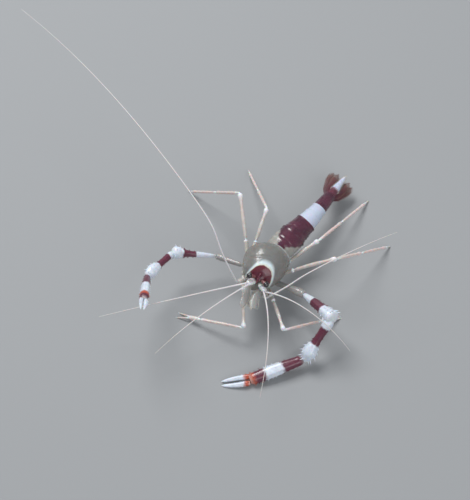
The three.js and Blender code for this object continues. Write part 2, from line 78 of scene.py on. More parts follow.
floor_mesh = bpy.data.meshes.new("floor")
reach = 4.0
floor_mesh.from_pydata(
    [(-reach, -reach, 0), (reach, -reach, 0), (reach, reach, 0), (-reach, reach, 0)], [], [(0, 1, 2, 3)]
)
floor = added("floor", floor_mesh)
floor_paint = bpy.data.materials.new("floor_paint")
floor_paint.use_nodes = True
floor_shader = floor_paint.node_tree.nodes["Principled BSDF"]
floor_shader.inputs["Base Color"].default_value = (0.32, 0.33, 0.34, 1)
floor_shader.inputs["Roughness"].default_value = 0.9
floor_mesh.materials.append(floor_paint)


def unit(vector):
    """The vector at a length of 1."""
    return vector / np.linalg.norm(vector)


lit_point = np.array([0.0, 0.0, 0.01])  # metres
for lamp_name, place, size, power in [
    ("key_lamp", (-0.30, 0.22, 0.62), 0.38, 4.6),
    ("fill_lamp", (0.50, -0.35, 0.45), 0.60, 2.0),
]:
    lamp = bpy.data.lights.new(lamp_name, "AREA")
    lamp.size, lamp.energy = size, power
    holder = added(lamp_name, lamp)
    beam = unit(np.array(place) - lit_point)
    flat = unit(np.cross(overhead, beam))
    turned = Matrix(np.column_stack([flat, np.cross(beam, flat), beam]).tolist()).to_4x4()
    turned.translation = place
    holder.matrix_world = turned

surround = bpy.data.worlds.new("surround")
surround.use_nodes = True
surround.node_tree.nodes["Background"].inputs["Color"].default_value = (0.86, 0.90, 0.95, 1)
surround.node_tree.nodes["Background"].inputs["Strength"].default_value = 0.38
bpy.context.scene.world = surround

# ------------------------------------------------------------------ carapace and beak
# One thin glassy shield over the head and the gills, open below and in front, with a short toothed
# beak between the eyes. A maroon saddle lies across its front, and just behind it a painted highlight:
# a yellowish then white band. Small prickles that lean forwards stand all over it.
lean, nose_up = math.radians(18), math.radians(6)
rolled = np.array([[math.cos(lean), 0, math.sin(lean)], [0, 1, 0], [-math.sin(lean), 0, math.cos(lean)]])
pitched = np.array(
    [[1, 0, 0], [0, math.cos(nose_up), math.sin(nose_up)], [0, -math.sin(nose_up), math.cos(nose_up)]]
)
body_axes = pitched @ rolled


def on_body(points):
    """Points of the carapace's own frame, rolled to the left, tipped head up and moved into place."""
    return np.asarray(points, float) @ body_axes.T + middle


def heading_to(heading, pitch):
    """Unit vectors from headings (0 = +X, 90 = +Y) and pitches above the floor, both in degrees."""
    heading, pitch = np.radians(heading), np.radians(pitch)
    return np.stack([np.cos(pitch) * np.cos(heading), np.cos(pitch) * np.sin(heading), np.sin(pitch)], -1)


def flowing(t, knots, values):
    """A smooth curve through the values at the knots: cubic pieces whose slope at a knot is the average
    slope beside it. t outside the knots takes the end value."""
    knots, values = np.asarray(knots, float), np.asarray(values, float)
    t = np.clip(t, knots[0], knots[-1])
    slopes = np.gradient(values, knots)
    k = np.clip(np.searchsorted(knots, t, side="right") - 1, 0, len(knots) - 2)
    gap = knots[k + 1] - knots[k]
    f = (t - knots[k]) / gap
    rise = f * f * (3 - 2 * f)
    return (
        values[k] * (1 - rise)
        + values[k + 1] * rise
        + slopes[k] * gap * f * (1 - f) ** 2
        - slopes[k + 1] * gap * f * f * (1 - f)
    )


def facing_out(points, faces):
    """The faces, turned over if the volume they enclose comes out negative."""
    total = 0.0
    for face in faces:
        a, b, c = points[face[:, 0]], points[face[:, 1]], points[face[:, 2]]
        total += np.einsum("ij,ij->", a, np.cross(b, c))
        if face.shape[1] == 4:
            total += np.einsum("ij,ij->", a, np.cross(c, points[face[:, 3]]))
    return faces if total > 0 else [face[:, ::-1] for face in faces]


def skins(grids, marks):
    """Closed bodies from rings of points: grids is (bodies, rings, around, 3). Each ring joins the next,
    the last point of a ring joins its first, and both ends are closed by a point at that ring's middle.
    marks holds three numbers for each point, and a closing point takes its ring's average."""
    count, rings, around = grids.shape[:3]
    stride = rings * around + 2
    marks = np.broadcast_to(marks, grids.shape)

    def with_ends(values):
        flat = values.reshape(count, rings * around, 3)
        return np.concatenate([flat, values[:, :1].mean(2), values[:, -1:].mean(2)], 1).reshape(-1, 3)

    i, j = np.meshgrid(np.arange(rings - 1), np.arange(around), indexing="ij")
    a, b = (i * around + j).ravel(), (i * around + (j + 1) % around).ravel()
    walls = np.stack([a, b, b + around, a + around], 1)
    k, after = np.arange(around), (np.arange(around) + 1) % around
    last = (rings - 1) * around
    near = np.stack([after, k, np.full(around, stride - 2)], 1)
    far = np.stack([last + k, last + after, np.full(around, stride - 1)], 1)
    shifts = (np.arange(count) * stride)[:, None, None]
    faces = [(f[None] + shifts).reshape(-1, f.shape[1]) for f in (walls, np.concatenate([near, far]))]
    points = with_ends(grids)
    return points, facing_out(points, faces), with_ends(marks)


def plate(top, under, marks):
    """A closed plate between two grids of points of the same size: the two faces, and a rim all the way
    round that joins each border point of one to the same point of the other."""
    rows, columns = top.shape[:2]
    ring = np.concatenate([top, under[:, ::-1]], 1)
    around = 2 * columns
    i, j = np.meshgrid(np.arange(rows - 1), np.arange(around), indexing="ij")
    a, b = (i * around + j).ravel(), (i * around + (j + 1) % around).ravel()
    walls = np.stack([a, b, b + around, a + around], 1)
    k = np.arange(columns - 1)
    near = np.stack([k + 1, k, around - 1 - k, around - 2 - k], 1)
    far = near[:, ::-1] + (rows - 1) * around
    points = ring.reshape(-1, 3)
    both = np.concatenate([marks, marks[:, ::-1]], 1).reshape(-1, 3)
    return points, facing_out(points, [np.concatenate([walls, near, far])]), both


def units(rows):
    """Each row at a length of 1."""
    return rows / np.linalg.norm(rows, axis=1, keepdims=True)


def thorns(roots, ways, lengths, widths, marks, sides=5, hook=0.0):
    """Small pointed cones, one at each root: rings that shrink to a tip while they go along the way, with
    the first ring sunk below the root. hook bends the tip aside by that share of the length. Each thorn
    takes one mark all over."""
    ways = units(ways)
    helper = np.where(np.abs(ways[:, 2:]) < 0.8, [[0.0, 0.0, 1.0]], [[1.0, 0.0, 0.0]])
    first = units(np.cross(ways, helper))
    second = np.cross(ways, first)
    heights = np.array([-0.25, 0.1, 0.55, 0.93])
    girths = np.array([1.0, 0.85, 0.42, 0.12])
    angle = np.arange(sides) * 2 * math.pi / sides
    lengths, widths = np.broadcast_to(lengths, len(roots)), np.broadcast_to(widths, len(roots))
    spread = first[:, None] * np.cos(angle)[:, None] + second[:, None] * np.sin(angle)[:, None]
    axis = roots[:, None] + ways[:, None] * (lengths[:, None] * heights)[:, :, None]
    axis = axis + first[:, None] * (lengths[:, None] * hook * np.clip(heights, 0, 1) ** 2)[:, :, None]
    grids = axis[:, :, None] + spread[:, None] * (widths[:, None] * girths)[:, :, None, None]
    return skins(grids, np.asarray(marks, float)[:, None, None])


def make(name, parts, finishes, slot, *nodes):
    """One piece from closed parts, each (points, faces, marks) with the number of its finish: the points
    go from millimetres to metres and none goes below the floor, the marks become the attribute that the
    finishes read, and the piece rides the body and stands for its CAD nodes."""
    shells = [part for part, _ in parts]
    starts = np.cumsum([0] + [len(points) for points, _, _ in shells])
    corners, finish_of = [], []
    for (points, faces, _), start, (_, finish) in zip(shells, starts, parts):
        for face in faces:
            corners.extend((face + start).tolist())
            finish_of.extend([finish] * len(face))
    places = np.concatenate([points for points, _, _ in shells]) / 1000
    places[:, 2] = np.maximum(places[:, 2], 0)
    mesh = bpy.data.meshes.new(name)
    mesh.from_pydata(places.tolist(), [], corners)
    mesh.polygons.foreach_set("use_smooth", np.ones(len(corners), bool))
    mesh.polygons.foreach_set("material_index", np.array(finish_of, np.int32))
    mark = mesh.attributes.new("mark", "FLOAT_VECTOR", "POINT")
    every_mark = np.concatenate([marks for _, _, marks in shells]).astype(np.float32)
    mark.data.foreach_set("vector", every_mark.ravel())
    for finish in finishes:
        mesh.materials.append(finish)
    mesh.update()
    piece = added(name, mesh)
    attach(piece, "root")
    if nodes:
        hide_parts(*nodes)
    return piece


def wired(tree, kind, values=(), **settings):
    """A node of that kind with its settings, and with each named input linked or set."""
    node = tree.nodes.new(kind)
    for key, value in settings.items():
        setattr(node, key, value)
    for key, value in dict(values).items():
        if isinstance(value, bpy.types.NodeSocket):
            tree.links.new(value, node.inputs[key])
        else:
            node.inputs[key].default_value = value
    return node


def reckoned(tree, what, *values, clamp=False):
    """The output of one Math node."""
    return wired(tree, "ShaderNodeMath", enumerate(values), operation=what, use_clamp=clamp).outputs[0]


def blended(tree, share, first, second):
    """The output of a colour mix: first where share is 0, second where it is 1."""
    node = wired(tree, "ShaderNodeMix", {"Factor": share}, data_type="RGBA")
    for socket, value in ((node.inputs[6], first), (node.inputs[7], second)):
        if isinstance(value, bpy.types.NodeSocket):
            tree.links.new(value, socket)
        else:
            socket.default_value = (*value, 1)
    return node.outputs[2]


def marked(tree):
    """The three numbers of the mark attribute."""
    attribute = wired(tree, "ShaderNodeAttribute", attribute_name="mark")
    return wired(tree, "ShaderNodeSeparateXYZ", {0: attribute.outputs["Vector"]}).outputs


def between(tree, value, low, high, first=0.0, last=1.0):
    """The output that goes evenly from first to last while the value goes from low to high."""
    return wired(tree, "ShaderNodeMapRange", {0: value, 1: low, 2: high, 3: first, 4: last}).outputs[0]


def ragged(tree, scale, detail, amount):
    """Noise that makes a painted edge uneven: the noise less a half, times the amount."""
    place = wired(tree, "ShaderNodeTexCoord").outputs["Object"]
    noise = wired(tree, "ShaderNodeTexNoise", {"Vector": place, "Scale": scale, "Detail": detail}).outputs[0]
    return reckoned(tree, "MULTIPLY", reckoned(tree, "SUBTRACT", noise, 0.5), amount)


# Horny shell seen close: cloudy pigment in the skin, fine pores, and a slightly uneven polish.
shell_grain = bpy.data.node_groups.new("shell_grain", "ShaderNodeTree")
for socket_name, value in (("Cloud", 0.25), ("Pores", 0.5), ("Polish", 0.3), ("Size", 1.0)):
    socket = shell_grain.interface.new_socket(socket_name, in_out="INPUT", socket_type="NodeSocketFloat")
    socket.default_value = value
for socket_name in ("Shade", "Roughness", "Height"):
    shell_grain.interface.new_socket(socket_name, in_out="OUTPUT", socket_type="NodeSocketFloat")
given = shell_grain.nodes.new("NodeGroupInput").outputs
where = shell_grain.nodes.new("ShaderNodeTexCoord").outputs["Object"]
sized = wired(
    shell_grain, "ShaderNodeVectorMath", {0: where, "Scale": given["Size"]}, operation="SCALE"
).outputs[0]
cloud = wired(shell_grain, "ShaderNodeTexNoise", {"Vector": sized, "Scale": 900, "Detail": 4}).outputs[0]
speckle = wired(shell_grain, "ShaderNodeTexNoise", {"Vector": sized, "Scale": 5200, "Detail": 2}).outputs[0]
pits = wired(shell_grain, "ShaderNodeTexVoronoi", {"Vector": sized, "Scale": 4200}).outputs["Distance"]
uneven = reckoned(
    shell_grain, "ADD", reckoned(shell_grain, "SUBTRACT", cloud, 0.5),
    reckoned(shell_grain, "MULTIPLY", reckoned(shell_grain, "SUBTRACT", speckle, 0.5), 0.55),
)
shade = reckoned(shell_grain, "ADD", reckoned(shell_grain, "MULTIPLY", uneven, given["Cloud"]), 1.0)
gloss = reckoned(
    shell_grain, "ADD", reckoned(shell_grain, "MULTIPLY", speckle, 0.18), given["Polish"], clamp=True
)
height = reckoned(
    shell_grain, "ADD",
    reckoned(shell_grain, "MULTIPLY", reckoned(shell_grain, "MINIMUM", pits, 0.5), given["Pores"]),
    reckoned(shell_grain, "MULTIPLY", cloud, 0.6),
)
wired(shell_grain, "NodeGroupOutput", {"Shade": shade, "Roughness": gloss, "Height": height})


def finish(name, paint, grain=(0.25, 0.5, 0.25, 1.0), bump=0.00004, see=None, **plain):
    """A shell finish. paint gives the colour, a socket of the finish's own tree or three numbers; grain is
    cloud, pores, polish and size; see makes the alpha socket, where there is one. Plain values go on the
    shader."""
    made = bpy.data.materials.new(name)
    made.use_nodes = True
    tree = made.node_tree
    shader = tree.nodes["Principled BSDF"]
    group = wired(tree, "ShaderNodeGroup", node_tree=shell_grain)
    for socket, value in zip(("Cloud", "Pores", "Polish", "Size"), grain):
        group.inputs[socket].default_value = value
    shaded = wired(
        tree, "ShaderNodeVectorMath", {0: paint(tree), "Scale": group.outputs["Shade"]}, operation="SCALE"
    )
    raised_by = wired(
        tree, "ShaderNodeBump", {"Height": group.outputs["Height"], "Distance": bump, "Strength": 0.7}
    )
    tree.links.new(shaded.outputs[0], shader.inputs["Base Color"])
    tree.links.new(group.outputs["Roughness"], shader.inputs["Roughness"])
    tree.links.new(raised_by.outputs[0], shader.inputs["Normal"])
    if see is not None:
        tree.links.new(see(tree), shader.inputs["Alpha"])
    for socket, value in plain.items():
        shader.inputs[socket.replace("_", " ")].default_value = value
    return made


glassy = (0.285, 0.280, 0.275)
maroon = (0.095, 0.012, 0.032)
milk = (0.86, 0.89, 0.93)


def saddle(tree):
    """How far behind the saddle's rear edge a point of the carapace is, in millimetres. The edge runs
    across at y = -4.95 and bends forwards as the cube of the distance from x = 0.4."""
    x, y, _ = marked(tree)
    aside = reckoned(tree, "ABSOLUTE", reckoned(tree, "SUBTRACT", x, 0.4))
    bend = reckoned(tree, "MULTIPLY", reckoned(tree, "POWER", aside, 3.0), 0.052)
    edge = reckoned(tree, "ADD", reckoned(tree, "ADD", y, 4.95), bend)
    return reckoned(tree, "ADD", edge, ragged(tree, 1100, 3, 0.5))


def ramp(tree, position, stops, low=0.0, high=1.0):
    """Colours along a line: each stop is (place, colour), with place between low and high."""
    node = wired(tree, "ShaderNodeValToRGB", {0: between(tree, position, low, high)})
    band = node.color_ramp.elements
    while len(band) < len(stops):
        band.new(1.0)
    for element, (place, colour) in zip(band, stops):
        element.position = (place - low) / (high - low)
        element.color = (*colour, 1)
    return node.outputs[0]


waist = np.array([1.3, 5.2, -0.6])  # where the abdomen starts, in the carapace's own frame
waist_square = heading_to(74, -2)
waist_way = waist_square @ body_axes


def rear_hem(tree):
    """1 on the hem along the rear edge, from its distance before the plane square to the abdomen."""
    place = wired(tree, "ShaderNodeTexCoord").outputs["Object"]
    reading = wired(
        tree, "ShaderNodeVectorMath", {0: place, 1: waist_square.tolist()}, operation="DOT_PRODUCT"
    )
    edge = float(on_body(waist) @ waist_square) / 1000
    return between(tree, reading.outputs["Value"], edge - 0.0006, edge - 0.0001, last=0.8)


def carapace_paint(tree):
    """Bands by the distance behind the saddle's edge, with a yellowish-white painted highlight just
    behind it, yellower down the flanks, and paler on the hem.
    """
    behind = saddle(tree)
    _, _, z = marked(tree)
    # The yellowish and white stops just behind the saddle are a painted highlight, not pigment.
    banded = ramp(
        tree, behind,
        [(-3.0, maroon), (-0.25, (0.15, 0.022, 0.035)), (0.0, (0.78, 0.72, 0.60)), (0.6, (0.84, 0.87, 0.87)),
         (1.15, (0.66, 0.69, 0.72)), (2.0, glassy), (6.0, (0.27, 0.265, 0.25))],
        low=-3.0, high=8.0,
    )
    flank = between(tree, z, 1.5, -2.4, last=0.65)
    sided = blended(tree, flank, banded, (0.40, 0.37, 0.29))
    return blended(tree, rear_hem(tree), sided, (0.55, 0.56, 0.56))


def carapace_see(tree):
    """Nearly solid over the saddle and the painted highlight band behind it, clearer behind them."""
    return between(tree, saddle(tree), 1.0, 2.3, 0.98, 0.62)


carapace_finish = finish(
    "carapace_shell", carapace_paint, grain=(0.22, 0.4, 0.16, 1.0), see=carapace_see,
    Coat_Weight=0.5, Coat_Roughness=0.12, Subsurface_Weight=0.25, Subsurface_Scale=0.002,
)

front_y, wall = -7.7, 0.2
stations = [-9.3, -8.5, -7.7, -6.7, -4.5, -1.9, 0.9, 2.7, 4.1, 5.3, 6.4]
fullness = [0.26, 0.35, 0.47, 0.66, 0.86, 0.97, 1.0, 0.95, 0.86, 0.74, 0.58]


def carapace_ring(y, angle, inset):
    """A point of the dome at y: on an ellipse whose size follows the fullness there, less a groove that
    runs across behind the head and down to the sides. Behind y = 0 the ellipse's middle moves aside and
    down as y squared, and inset shrinks it."""
    size = flowing(y, stations, fullness)
    groove = 0.17 * np.exp(-(((y + 1.9 + 1.9 * np.abs(np.sin(angle))) / 0.5) ** 2)) * np.cos(angle / 2)
    groove = groove + 0.12 * np.exp(-(((np.abs(angle) - 1.25) / 0.09) ** 2)) * np.clip((y + 2) / 3, 0, 1)
    bend = np.maximum(y, 0) ** 2
    return np.stack(
        [
            (6.7 * size - inset - groove) * np.sin(angle) + 0.05 * bend,
            y,
            (6.2 * size - inset - groove) * np.cos(angle) - 0.022 * bend,
        ],
        -1,
    )


def carapace_surface(u, v, inset=0.0):
    """A point of the shield: u runs from the front edge to the rear edge, v from -1 at the right lower
    edge over the back to 1 at the left. The front edge comes forward over the beak's root and is notched
    round each eye; the rear edge lies on the plane square to the abdomen, lipped outwards."""
    angle = v * math.radians(112)
    brow = 1.25 * np.exp(-((angle / 0.62) ** 2)) - 0.55 * np.exp(-(((np.abs(angle) - 0.98) / 0.24) ** 2))
    rear = 5.0 + 0 * angle
    for _ in range(8):
        rear = rear - ((carapace_ring(rear, angle, 0.0) - waist) @ waist_way - 0.25) / waist_way[1]
    y = (front_y - brow) * (1 - u) + rear * u
    lip = 0.16 * np.exp(-(((rear - y) / 0.35) ** 2))
    return carapace_ring(y, angle, inset - lip)


u, v = np.meshgrid(np.linspace(0, 1, 110), np.linspace(-1, 1, 130), indexing="ij")
outside, inside = carapace_surface(u, v), carapace_surface(u, v, wall)
shield, shield_faces, shield_marks = plate(outside, inside, outside)
shield = (on_body(shield), shield_faces, shield_marks)


def round_angles(around):
    """Evenly spaced angles once round."""
    return np.linspace(0, 2 * math.pi, around, endpoint=False)


# The beak: a narrow deep spike that rises 8 degrees, with teeth along its top and one below.
rise = math.radians(8)
t = np.linspace(0, 1, 40)[:, None]
angle = round_angles(14)
girth = flowing(t, [0, 0.25, 0.6, 0.97, 1.0], [0.85, 0.78, 0.5, 0.1, 0.03])
beak = np.stack(
    [
        girth * 0.72 * np.cos(angle),
        -6.2 - 5.2 * t * math.cos(rise) + 0 * angle,
        2.75 + 5.2 * t * math.sin(rise) + girth * np.sin(angle),
    ],
    -1,
)
tooth_y = np.array([-7.0, -8.1, -9.1, -10.0, -10.0])
tooth_z = np.array([3.65, 3.72, 3.74, 3.68, 3.05])
tooth_up = np.array([1.0, 1.0, 1.0, 1.0, -1.0])
tooth_roots = np.stack([0 * tooth_y, tooth_y, tooth_z], 1)
tooth_ways = np.stack([0 * tooth_y, -1.15 + 0 * tooth_y, tooth_up], 1)
teeth = thorns(tooth_roots, tooth_ways, 0.85, 0.24, tooth_roots)

# Prickles in staggered rows, and a row of stouter spines along the front edge.
seeds = np.random.default_rng(7)
rows, columns = np.meshgrid(np.linspace(0.10, 0.93, 12), np.linspace(-0.9, 0.9, 19), indexing="ij")
rows = rows.ravel() + seeds.uniform(-0.022, 0.022, rows.size)
columns = columns.ravel() + seeds.uniform(-0.03, 0.03, columns.size)
prickle_roots = carapace_surface(rows, columns)
outward = units(carapace_surface(rows, columns, -0.1) - prickle_roots)
prickles = thorns(
    prickle_roots, outward * 0.75 + [0, -1.0, 0], seeds.uniform(0.28, 0.5, len(rows)), 0.085, prickle_roots
)
edge_v = np.array([-0.86, -0.72, -0.60, -0.34, 0.34, 0.60, 0.72, 0.86])
edge_roots = carapace_surface(0 * edge_v + 0.012, edge_v)
edge_spines = thorns(edge_roots, edge_roots * [0.12, 0, 0.1] + [0, -1.0, 0], 0.9, 0.17, edge_roots)


def moved(part, carry=on_body):
    """The same closed part with its points carried into place."""
    points, faces, marks = part
    return carry(points), faces, marks


def carried(carry, *parts):
    """The parts, each with the number of its finish, all carried into place."""
    return [(moved(part, carry), number) for part, number in parts]


beak_skin = skins(beak[None], beak[None])
make(
    "carapace_shield",
    [(shield, 0), *carried(on_body, (beak_skin, 0), (teeth, 0), (prickles, 0), (edge_spines, 0))],
    [carapace_finish], "carapace", "carapace",
)

# ------------------------------------------------------------------ thorax underside and what shows through
# Below the shield are the soft organs, which show through it, and the hard breast plates that carry
# two rows of leg roots. Each root is a short stout ring joined to the breast.
hips = {
    "first": (2.0, -6.1, -4.5),
    "second": (4.3, -3.1, -5.4),
    "third": (4.8, -0.9, -5.0),
    "fourth": (4.8, 1.7, -4.8),
    "fifth": (4.6, 3.9, -4.85),
}
both_sides = (("left", 1), ("right", -1))


def hip(name, side):
    """Where a leg leaves the breast, on the side given."""
    x, y, z = hips[name]
    return on_body([x * side, y, z])


def eased(count):
    """Shares from 0 to 1, closer together at both ends: the mean of a cosine's rise and an even one."""
    return 0.5 * (0.5 - 0.5 * np.cos(np.linspace(0, math.pi, count))) + 0.5 * np.linspace(0, 1, count)


def rod(start, end, girths, face=overhead, flat=1.0, bow=0.0, rings=26, around=16, bumps=0, marks=None):
    """A limb piece from start to end: rings whose half width follows the girths along the way, squashed by
    flat across the face, and carried on a line that bows towards the face by bow at its middle. bumps
    is a number of low rings along it. A mark is the distance along, how near a joint is, and the angle."""
    start, end = np.asarray(start, float), np.asarray(end, float)
    length = np.linalg.norm(end - start)
    along = (end - start) / length
    side = unit(np.cross(along, face))
    up = np.cross(side, along)
    t = eased(rings)
    girth = flowing(t, *zip(*girths))
    if bumps:
        girth = girth * (1 + 0.07 * np.sin(2 * math.pi * bumps * t))
    centre = start + along * (length * t)[:, None] + up * (bow * 4 * t * (1 - t))[:, None]
    angle = round_angles(around)
    ring = side * np.cos(angle)[:, None] + up * (flat * np.sin(angle))[:, None]
    grid = centre[:, None] + ring * girth[:, None, None]
    from_ends = np.minimum(t, 1 - t) * length
    if marks is None:
        marks = np.stack([t * length, np.exp(-((from_ends / 0.7) ** 2)), 0 * t], -1)
    return skins(grid[None], marks[None, :, None])


def plain(colour):
    """Paint of one colour, for a finish whose variation comes from its grain."""

    def paint(tree):
        return colour

    return paint


def jointed(colour, joint, amount=0.8):
    """Paint that turns to the joint's colour near a joint."""

    def paint(tree):
        near = reckoned(tree, "MULTIPLY", marked(tree)[1], amount, clamp=True)
        return blended(tree, near, colour, joint)

    return paint


organ_finish = finish(
    "organs", plain((0.20, 0.185, 0.155)), grain=(0.9, 0.2, 0.45, 0.45), Subsurface_Weight=0.4,
    Subsurface_Scale=0.002,
)
breast_finish = finish(
    "breast_plates", jointed((0.36, 0.35, 0.31), (0.58, 0.58, 0.56)), grain=(0.25, 0.5, 0.28, 1.0),
    Coat_Weight=0.3, Subsurface_Weight=0.3, Subsurface_Scale=0.002,
)


def lump(centre, size, rings=22, around=28):
    """An ellipsoid along y, each ring a circle of the sine of its angle."""
    polar = np.linspace(0.08, math.pi - 0.08, rings)[:, None]
    angle = round_angles(around)
    grid = np.stack(
        [np.sin(polar) * np.cos(angle), -np.cos(polar) + 0 * angle, np.sin(polar) * np.sin(angle)], -1
    )
    return skins((grid * size + centre)[None], (0 * grid)[None])


make(
    "organs",
    carried(
        on_body, (lump([0.2, -0.4, 0.4], [4.3, 4.9, 4.1]), 0), (lump([0.2, -4.9, 0.2], [3.0, 2.4, 2.5]), 0)
    ),
    [organ_finish], "underside",
)

breast = carried(
    on_body, (lump([0.0, -1.0, -3.9], [3.6, 5.4, 2.2]), 0), (lump([0.0, -6.6, -3.7], [1.6, 1.7, 1.6]), 0)
)
for name, place in hips.items():
    for _, side in both_sides:
        inner = on_body([1.4 * side, place[1] * 0.9, -4.1])
        outer = hip(name, side)
        tip = outer + unit(outer - inner) * 0.5
        root = [(0, 0.8), (0.35, 0.95), (0.55, 0.82), (0.8, 0.98), (0.94, 0.8), (1, 0.35)]
        breast.append((rod(inner, tip, root), 0))
make("breast", breast, [breast_finish], "underside", "thorax")

# ------------------------------------------------------------------ eyes
# A dark wet ball on a short dull red stalk at each side of the beak's root. The ball is capped by the
# finely faceted cornea.
cornea_finish = finish(
    "eye_ball", plain((0.016, 0.012, 0.016)), grain=(0.6, 0.7, 0.02, 2.6), bump=0.00001, Coat_Weight=1.0,
    Coat_Roughness=0.03,
)
stalk_finish = finish(
    "eye_stalk", jointed((0.16, 0.03, 0.045), (0.30, 0.16, 0.15)), grain=(0.5, 0.4, 0.18, 1.0),
    Coat_Weight=0.5,
)
for word, side in both_sides:
    root = on_body([1.1 * side, -8.45, 2.35])
    way = unit(body_axes @ np.array([0.85 * side, -0.4, 0.2]))
    stalk_shape = [(0, 0.4), (0.3, 0.5), (0.8, 0.66), (1, 0.55)]
    stalk = rod(root, root + way * 1.75, stalk_shape, face=body_axes[:, 2])
    ball_at = root + way * 1.98
    ball = rod(
        ball_at - way * 0.85, ball_at + way * 0.85,
        [(0, 0.28), (0.12, 0.6), (0.3, 0.83), (0.52, 0.9), (0.75, 0.78), (0.92, 0.46), (1, 0.12)],
        face=body_axes[:, 2], rings=22, around=22,
    )
    make(f"eye_on_stalk_{word}", [(stalk, 1), (ball, 0)], [cornea_finish, stalk_finish], "eye",
         f"eye_{word}")

# ------------------------------------------------------------------ feelers
# The two upper feelers have a stout white stem of three rings and two whips each; the two lower ones
# have a glassy stem, a leaf-shaped scale fringed with hairs, and one long whip. Every whip tapers to
# a hair and is ringed all along.


def sweep(start, headings, pitches, length, steps):
    """A line whose heading and pitch change evenly along it: the running sum of equal short steps."""
    t = (np.arange(steps) + 0.5) / steps
    heading = headings[0] + (headings[1] - headings[0]) * t
    ways = heading_to(heading, pitches[0] + (pitches[1] - pitches[0]) * t)
    return np.concatenate([[start], start + np.cumsum(ways * length / steps, 0)])


def whip(line, thick, thin, ring_length=0.55, around=8):
    """Rings carried along a line, from the thick half width to the thin one, each joint of the whip a
    little wider at its far end. A mark is the distance along, how far round the joint's ring, and 0."""
    spans = np.linalg.norm(np.diff(line, axis=0), axis=1)
    gone = np.concatenate([[0], np.cumsum(spans)])
    count = int(gone[-1] / ring_length * 2)
    at = np.linspace(0, gone[-1], count + 1)
    centre = np.stack([np.interp(at, gone, line[:, k]) for k in range(3)], -1)
    along = units(np.gradient(centre, axis=0))
    side = units(np.cross(along, overhead))
    up = np.cross(side, along)
    share = at / gone[-1]
    girth = thick + (thin - thick) * share**0.75
    girth = girth * (1 + 0.09 * (np.arange(count + 1) % 2))
    girth[-1] *= 0.4
    angle = round_angles(around)[:, None]
    ring = side[:, None] * np.cos(angle) + up[:, None] * np.sin(angle)
    grid = centre[:, None] + ring * girth[:, None, None]
    marks = np.stack([share, np.arange(count + 1) % 2, 0 * share], -1)
    return skins(grid[None], marks[None, :, None])


def whip_paint(tree):
    """Lilac-grey at the root and warmer towards the tip, paler on every second ring."""
    share, ring, _ = marked(tree)
    long_way = ramp(
        tree, share, [(0, (0.66, 0.65, 0.68)), (0.3, (0.64, 0.60, 0.60)), (1, (0.62, 0.57, 0.54))]
    )
    return blended(tree, reckoned(tree, "MULTIPLY", ring, 0.35), long_way, (0.80, 0.79, 0.80))


pale_finish = finish(
    "pale_horn", jointed((0.86, 0.87, 0.86), milk, 0.6), grain=(0.18, 0.4, 0.22, 1.0), Coat_Weight=0.35,
    Subsurface_Weight=0.35, Subsurface_Scale=0.0015,
)
root_joint_finish = finish(
    "feeler_root", jointed((0.40, 0.39, 0.36), (0.60, 0.60, 0.58), 0.6), grain=(0.3, 0.4, 0.22, 1.0),
    Coat_Weight=0.35, Subsurface_Weight=0.35, Subsurface_Scale=0.0015,
)
whip_finish = finish(
    "whip", whip_paint, grain=(0.25, 0.3, 0.4, 1.4), bump=0.00001, Subsurface_Weight=0.2,
    Subsurface_Scale=0.001,
)

stems = {
    "antennule": {
        "left": ((1.35, -8.1, 0.55), (3.4, -10.4, 1.0)),
        "right": ((-0.85, -8.1, 0.55), (-2.1, -10.8, 1.0)),
    },
    "antenna": {
        "left": ((3.1, -7.6, -2.2), (4.6, -10.1, -1.7)),
        "right": ((-3.1, -7.6, -2.2), (-4.6, -10.1, -1.7)),
    },
}
whips = {
    "antennule_outer_left": ((-16, -23), (35, -34), 33.9),
    "antennule_inner_left": ((-58, -85), (22, -43), 35.6),
    "antennule_outer_right": ((-144, -151), (1, -13), 44.6),
    "antennule_inner_right": ((-132, -116), (-13, -13), 34.3),
}
antennae = {
    "left": (((10, 50), (50, 26), 13.0), ((40, 57), (26, -20), 34.0)),
    "right": (((170, 124), (62, 36), 19.0), ((146.7, 150.5), (20, -12), 100.5)),
}
# Steps of a long whip's line: averaged on each side of a point, and left alone at each end.
averaged, left_alone = 31, 4
three_rings = [(0, 0.75), (0.12, 1.0), (0.36, 1.04), (0.42, 0.8), (0.47, 0.96), (0.66, 0.94), (0.72, 0.7),
               (0.77, 0.84), (0.93, 0.76), (1, 0.42)]

